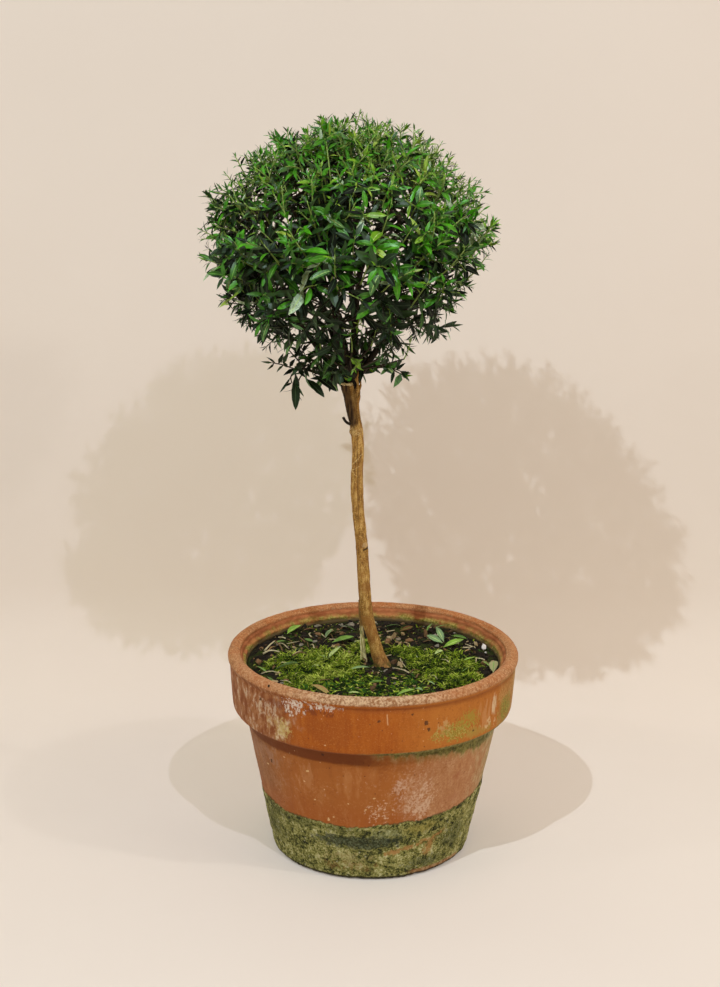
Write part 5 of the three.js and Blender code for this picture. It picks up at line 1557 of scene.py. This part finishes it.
def chunks(bag, at, size, m):
    """Rough little lumps: at (N, 3), size (N, 3) half lengths, m (N,) material numbers."""
    n = len(at)
    q = ICO[None] * (1 + 0.28 * rng.normal(size=(n, 12, 1)).clip(-1.5, 1.5)) * size[:, None]
    a, b = rng.uniform(0, 2 * math.pi, n), rng.normal(size=n) * 0.35
    ca, sa, cb, sb = np.cos(a)[:, None], np.sin(a)[:, None], np.cos(b)[:, None], np.sin(b)[:, None]
    x, y, z = q[..., 0], q[..., 1], q[..., 2]
    x, z = x * cb - z * sb, x * sb + z * cb
    x, y = x * ca - y * sa, x * sa + y * ca
    v = np.stack([x, y, z], -1) + at[:, None]
    f = (ICO_F[None] + np.arange(n)[:, None, None] * 12).reshape(-1, 3)
    bag.add(v.reshape(-1, 3), tri=f, m=np.repeat(m, 20))


def grit_look(name, low, high, rough=0.9):
    k = Look(name, rough=rough, specular=0.25)
    k.colour(k.mix(k.noise(1.6, 4, 0.65), low, high))
    k.bump(k.noise(0.8, 3, 0.65), 0.3, 0.8)
    return k.mat


crumbs = Bag()
n = 2600
r, a = np.sqrt(rng.random(n)) * 89, rng.uniform(0, 2 * math.pi, n)
x, y = r * np.cos(a), r * np.sin(a)
s = rng.gamma(2.2, 0.42, n).clip(0.3, 2.6)[:, None] * rng.uniform(0.6, 1.5, (n, 3)) * [1.2, 0.9, 0.6]
chunks(crumbs, np.c_[x + RIM_SHIFT * 139, y, ground(x, y) + 0.15 * s[:, 2]], s, rng.choice(5, n, p=[0.72, 0.13, 0.06, 0.05, 0.04]))
GRIT = [
    grit_look("crumb_dark", srgb(14, 11, 8), srgb(42, 33, 21)), grit_look("crumb_brown", srgb(54, 38, 23), srgb(106, 80, 50)),
    grit_look("crumb_bark", srgb(92, 62, 38), srgb(158, 124, 84)), grit_look("crumb_grey", srgb(110, 104, 88), srgb(168, 160, 140)),
    grit_look("crumb_tan", srgb(140, 116, 76), srgb(196, 176, 132)), grit_look("stone_white", srgb(206, 200, 190), srgb(240, 236, 228), 0.6),
]
PLACED = [  # each stone or chip: middle x, y, half length, half width, half height, lift, material
    (-42, 35, 2.2, 1.6, 1.3, 1.2, 3), (-18, 10, 3.4, 3.0, 2.6, 1.6, 2), (-16, 13, 1.6, 1.3, 1.2, 2.6, 4), (24, 56, 2.4, 2.0, 1.8, 1.6, 4),
    (29, 41, 3.8, 3.0, 2.4, 1.6, 2), (26, 35, 3.0, 2.0, 1.8, 1.4, 4), (83, 22, 1.8, 1.5, 3.0, 2.4, 5), (84, 15, 1.0, 1.0, 1.0, 1.4, 5),
    (72, 18, 1.4, 1.0, 2.6, 2.0, 3), (38, 21, 1.6, 0.8, 0.7, 2.2, 5), (33.5, 1, 1.7, 0.9, 0.7, 3.4, 5), (21.5, -15, 1.6, 1.2, 1.1, 2.0, 4),
    (42.5, -30, 1.4, 1.1, 0.9, 2.6, 5), (-47, -44, 0.7, 0.6, 2.2, 2.2, 5), (16, -38, 2.4, 1.0, 0.8, 1.6, 4), (17, -47, 1.9, 1.1, 0.9, 1.4, 3),
    (57, 4, 1.1, 0.9, 0.8, 2.2, 4), (-57, 22, 2.1, 1.6, 1.2, 1.4, 4), (-63, -48, 1.5, 1.2, 1.0, 1.5, 3), (-30, 61, 1.8, 1.4, 1.2, 1.4, 4),
    (60, -52, 1.6, 1.2, 1.0, 1.6, 3), (-8, 45, 1.6, 1.3, 1.1, 1.2, 4), (-40, 54, 4.8, 2.6, 1.0, 1.8, 2), (41, 52, 2.6, 1.4, 5.2, 3.6, 2),
    (16, 44, 2.0, 0.7, 5.4, 3.6, 4), (-81, -8, 4.2, 2.2, 2.4, 2.0, 2), (78, 33, 4.0, 2.4, 2.6, 2.2, 4), (5, -27, 1.4, 1.0, 0.8, 1.4, 4),
]
q = np.array(PLACED)
chunks(crumbs, np.c_[q[:, 0], q[:, 1], ground(q[:, 0], q[:, 1]) + q[:, 5] * 0.55], q[:, 2:5] / 1.05, q[:, 6].astype(int))
settle(crumbs.make("soil_crumbs", GRIT, flat=True), "soil")

MOSS = []
for i, (low, high) in enumerate((
    (srgb(14, 26, 5), srgb(30, 50, 8)), (srgb(60, 88, 10), srgb(96, 122, 18)), (srgb(112, 140, 26), srgb(146, 166, 42)),
    (srgb(158, 178, 56), srgb(194, 202, 100)), (srgb(30, 66, 18), srgb(58, 100, 30)),
)):
    k = Look(f"moss_{i}", rough=0.8, specular=0.12)
    k.colour(k.mix(k.noise(2.2, 3), low, high))
    k.bump(k.noise(0.8, 2), 0.15, 0.6)
    MOSS.append(k.mat)


def cushion(cx, cy, hx, hy, turn, seed, high):
    """A low green mound for the moss to stand in."""
    n, rings = 120, 26
    a = np.arange(n) / n * 2 * math.pi
    edge = 1 + 0.16 * wobble(np.c_[np.cos(a), np.sin(a), 0 * a], seed, 3.5)
    r = (np.arange(rings) + 1) / rings
    X = np.outer(r, hx * edge * np.cos(a)).ravel()
    Y = np.outer(r, hy * edge * np.sin(a)).ravel()
    c, s = math.cos(turn), math.sin(turn)
    x, y = cx + X * c - Y * s, cy + X * s + Y * c
    t = np.repeat(r, n)
    p = np.c_[x, y, 0 * x]
    z = ground(x, y) - 0.8 + high * (1 - t**3.0) * (0.62 + 0.38 * fbm(p / 9, seed + 4, 3)) + 0.8 * fbm(p / 3.0, seed + 9, 3) * (1 - t**6)
    v = np.vstack([np.c_[x, y, z], [[cx, cy, float(ground(np.array([cx]), np.array([cy]))[0]) + high * 0.6]]])
    i, j = np.arange(rings - 1)[:, None] * n, np.arange(n)[None]
    j2 = (j + 1) % n
    quad = np.stack([i + j, i + n + j, i + n + j2, i + j2], -1).reshape(-1, 4)
    tri = [(len(v) - 1, k, (k + 1) % n) for k in range(n)]
    return v, tri, quad


def moss_blades(bag, x, y, z, length, width, lean, tone):
    """Curved, pointed moss leaves standing at (x, y, z)."""
    n = len(x)
    az = rng.uniform(0, 2 * math.pi, n)
    out = np.c_[np.cos(az), np.sin(az), np.zeros(n)]
    sidew = np.c_[-np.sin(az), np.cos(az), np.zeros(n)]
    spin = rng.uniform(-0.9, 0.9, n)[:, None]
    sidew = unit(sidew + out * spin)
    root = np.c_[x, y, z]
    rows = []
    for u, w, bend in ((0.0, 0.45, 0.0), (0.38, 1.0, 0.16), (0.74, 0.66, 0.5)):
        tilt = lean + bend
        p = root + length[:, None] * u * (np.sin(tilt)[:, None] * out + np.cos(tilt)[:, None] * UP)
        rows += [p - sidew * (width * w / 2)[:, None], p + sidew * (width * w / 2)[:, None]]
    tilt = lean + 0.75
    rows.append(root + length[:, None] * (np.sin(tilt)[:, None] * out + np.cos(tilt)[:, None] * UP))
    v = np.stack(rows, 1).reshape(-1, 3)
    base = np.arange(n)[:, None, None] * 7
    quad = (np.array([(0, 1, 3, 2), (2, 3, 5, 4)])[None] + base).reshape(-1, 4)
    tri = (np.array([(4, 5, 6)])[None] + base).reshape(-1, 3)
    bag.add(v, tri, quad, np.repeat(tone, 1), np.repeat(tone, 2))


def moss_patch(name, spots, count, high, seed, size, tones, slot, *nodes, lean=(0.15, 1.0), mound=True):
    bag = Bag()
    for cx, cy, hx, hy, turn in spots:
        share = max(20, int(count * hx * hy / sum(s[2] * s[3] for s in spots)))
        if mound:
            v, tri, quad = cushion(cx, cy, hx, hy, turn, seed, high)
            bag.add(v, tri, quad, 0, 0)
        r = np.sqrt(rng.random(share)) * rng.uniform(0.92, 1.08, share)
        a = rng.uniform(0, 2 * math.pi, share)
        edge = 1 + 0.16 * wobble(np.c_[np.cos(a), np.sin(a), 0 * a], seed, 3.5)
        X, Y = r * hx * edge * np.cos(a), r * hy * edge * np.sin(a)
        c, s = math.cos(turn), math.sin(turn)
        x, y = cx + X * c - Y * s, cy + X * s + Y * c
        ok = (np.hypot(x - 1.2, y) < 89.0) & (np.hypot(x - 8, y + 10) > 7.0)
        x, y, r = x[ok], y[ok], r[ok]
        p = np.c_[x, y, 0 * x]
        clump = fbm(p / 5.0, seed + 31, 3)
        ok = clump > -0.42 + 0.2 * (r > 0.9)
        x, y, r, clump, p = x[ok], y[ok], r[ok], clump[ok], p[ok]
        top = high * (1 - np.minimum(r, 1) ** 3) * (0.62 + 0.38 * fbm(p / 9, seed + 4, 3)) if mound else 0
        z = ground(x, y) - 0.9 + top + 0.8 * clump
        k = len(x)
        length = rng.uniform(size[0], size[1], k) * (1 + 0.5 * clump)
        tone = fbm(p / 6.5, seed + 61, 3) * 0.5 + rng.normal(size=k) * 0.22 + 0.45 * clump
        edges = np.quantile(tone, np.cumsum(tones)[:-1])
        m = np.searchsorted(edges, tone)
        moss_blades(bag, x, y, z, length, rng.uniform(size[2], size[3], k), rng.uniform(*lean, k), m)
    return settle(bag.make(name, MOSS), slot, *nodes)


moss_patch("moss_left_tufts", [(-40, -14, 35, 32, 0.25), (-6, 25, 12, 14, 0.0), (-52, -44, 16, 12, -0.6)], 9000, 3.2, 3.3, (3.0, 6.4, 0.5, 1.0), [0.30, 0.24, 0.26, 0.20], "moss", "moss_left")
moss_patch("moss_right_tufts", [(52, -14, 25, 35, 0.2), (24, 14, 14, 12, 0.3), (62, -46, 18, 11, 0.7)], 8600, 3.2, 5.1, (3.0, 6.4, 0.5, 1.0), [0.42, 0.27, 0.20, 0.11], "moss", "moss_right")
moss_patch("moss_front_tufts", [(-14, -58, 44, 22, 0.05), (14, -66, 34, 18, 0.1), (-20, -36, 22, 12, 0.1), (14, -42, 20, 14, 0.0)], 6600, 1.6, 7.7, (2.4, 5.2, 0.9, 1.8), [0.50, 0.20, 0.12, 0.05, 0.13], "moss", lean=(0.5, 1.35))
moss_patch("moss_scattered", [(0, 0, 87, 87, 0.0)], 4200, 0.0, 9.1, (2.0, 4.6, 0.5, 1.1), [0.56, 0.22, 0.12, 0.04, 0.06], "moss", lean=(0.3, 1.3), mound=False)

FALLEN = [  # fallen leaves: foot x, y, lift, tip x, y, lift, width, colour
    (-63, 50, 3, -54, 62, 7, 7.5, 5), (-34, 46, 2, -28, 56, 6, 6.0, 8), (-29, 31, 2.5, -14, 41, 4.5, 5.5, 4), (-36, 31, 2, -31, 38, 3, 2.6, 6),
    (-31, -5, 3.5, -24, 8, 8, 4.4, 6), (-38, 0, 3.5, -31, -5, 4, 2.4, 6), (-68, -25, 3.5, -54, -16, 5.5, 4.6, 8), (-43, -22, 4, -37, -17, 5, 3.0, 6),
    (-15, -27, 3, -2, -21, 4.5, 3.4, 8), (-85, -15, 3.2, -75, -30, 2, 4.6, 4), (-74, -39, 2.5, -68, -48, 2, 3.6, 2), (-17, -69, 2, -9, -70, 3, 2.2, 6),
    (42, 53, 5, 46, 58, 11, 5.0, 4), (54, 32, 3, 49, 38, 15, 5.0, 8), (53, 30, 3, 42, 36, 9, 5.4, 8), (48, 52, 8, 62, 60, 11, 4.2, 4),
    (53, 22, 3.5, 68, 31, 7, 6.2, 5), (17, -73, 2.5, 29, -64, 4.5, 4.2, 5), (39, -48, 3.5, 44, -55, 3, 1.8, 8), (30, -60, 2.2, 35, -65, 2.6, 3.4, 8),
    (-60, 10, 2.5, -50, 16, 3.5, 3.0, 1), (64, -30, 4, 72, -22, 6, 3.2, 4), (66, -8, 4, 75, -2, 5, 3.0, 5), (10, 66, 2, 22, 70, 4, 4.0, 2),
    (-12, 62, 2, -22, 70, 3.5, 4.2, 1), (60, 48, 2.5, 70, 40, 4, 3.6, 3), (-2, -50, 2.5, 7, -54, 3.5, 2.8, 3), (-24, 66, 2.5, -12, 72, 4, 3.8, 8),
    (80, -8, 3, 84, -18, 4, 3.0, 4), (-72, 30, 2.5, -64, 36, 3.5, 3.2, 3), (46, 4, 4, 53, 12, 6, 3.4, 6), (-50, 40, 2, -44, 30, 3, 3.2, 3),
]
fallen = Leaves()
for x0, y0, z0, x1, y1, z1, w, colour in FALLEN:
    g0, g1 = ground(np.array([x0, x1], float), np.array([y0, y1], float))
    p, q = np.array([x0, y0, g0 + z0 * 0.75]), np.array([x1, y1, g1 + z1 * 0.75])
    d = q - p
    face = unit(UP + rng.normal(size=3) * 0.28)
    fallen.add(p, d, face, np.linalg.norm(d) * 1.08, w, rng.uniform(0.1, 0.4), rng.uniform(0.25, 0.6), rng.normal() * 0.08, colour, 1 if colour < 5 else 2)
DEAD = [grit_look("dead_leaf_tan", srgb(140, 108, 58), srgb(186, 154, 98), 0.7), grit_look("dead_leaf_khaki", srgb(138, 138, 88), srgb(178, 178, 128), 0.7), grit_look("dead_leaf_brown", srgb(84, 56, 32), srgb(136, 98, 58), 0.75)]
for x0, y0, z0, x1, y1, z1, w, m in ((-42, -56, 2.6, -29, -70, 2.2, 4.6, 0), (87, -24, 2, 88, -8, 6.5, 7.0, 1), (-76, 14, 1.5, -70, 20, 4.5, 2.4, 0), (22, 60, 2, 32, 66, 3.5, 3.6, 2), (-52, 56, 2, -42, 60, 3.5, 4.0, 2), (68, 12, 2.5, 76, 20, 3, 3.0, 0), (-5, 58, 1.6, 4, 64, 2.4, 3.6, 2)):
    g0, g1 = ground(np.array([x0, x1], float), np.array([y0, y1], float))
    p, q = np.array([x0, y0, g0 + z0 * 0.75]), np.array([x1, y1, g1 + z1 * 0.75])
    d = q - p
    fallen.add(p, d, unit(UP + rng.normal(size=3) * 0.3), np.linalg.norm(d) * 1.08, w, rng.uniform(0.2, 0.5), rng.uniform(0.4, 0.8), rng.normal() * 0.1, len(LEAF) + m, 1)
bag = leaf_bag(fallen, 0.0)
FADED = [srgb(40, 58, 26), srgb(58, 80, 36), srgb(74, 104, 44), srgb(96, 130, 54), srgb(112, 150, 62), srgb(128, 168, 58), srgb(170, 190, 116), srgb(178, 196, 130), srgb(116, 146, 96), srgb(176, 192, 156)]
FADED = [leaf_look(f"fallen_leaf_{i}", c, 0.55, 0.3) for i, c in enumerate(FADED)] + LEAF[len(GREENS):]
settle(bag.make("fallen_leaves", FADED + DEAD), "litter")

straws = Bag()
LYING = [((-78, 12, 2), (-74, 18, 5), (-71, 23, 6)), ((-71, 23, 6), (-67, 18, 4), (-65, 12, 2)), ((-79, 7, 2), (-74, 8, 3.5), (-67, 7, 3)), ((-58, 2, 2), (-52, 6, 4), (-46, 4, 3))]
for _ in range(70):
    r, a, h = 86 * math.sqrt(rng.random()), rng.uniform(0, 2 * math.pi), rng.uniform(0, math.pi)
    c = np.array([r * math.cos(a), r * math.sin(a), 1.2])
    d = np.array([math.cos(h), math.sin(h), rng.normal() * 0.12]) * rng.uniform(2.5, 8)
    LYING.append((c - d, c + np.array([0, 0, 1.2]) + rng.normal(size=3) * 0.8, c + d))
for k, pts in enumerate(LYING):
    pts = np.array(pts, float)
    ok = np.hypot(pts[:, 0], pts[:, 1]).max() < 88
    if not ok:
        continue
    pts[:, 2] += ground(pts[:, 0], pts[:, 1]) * 1.0
    w = rng.uniform(0.3, 0.65) if k > 3 else 0.75
    v, tri, quad = tube(spline(pts, 6), np.linspace(w, w * 0.6, 6), 6)
    straws.add(v, tri, quad, k % 2, k % 2)
settle(straws.make("dry_straws", [grit_look("straw", srgb(172, 158, 112), srgb(216, 206, 168), 0.8), grit_look("straw_dark", srgb(84, 64, 40), srgb(140, 114, 74), 0.8)]), "litter")
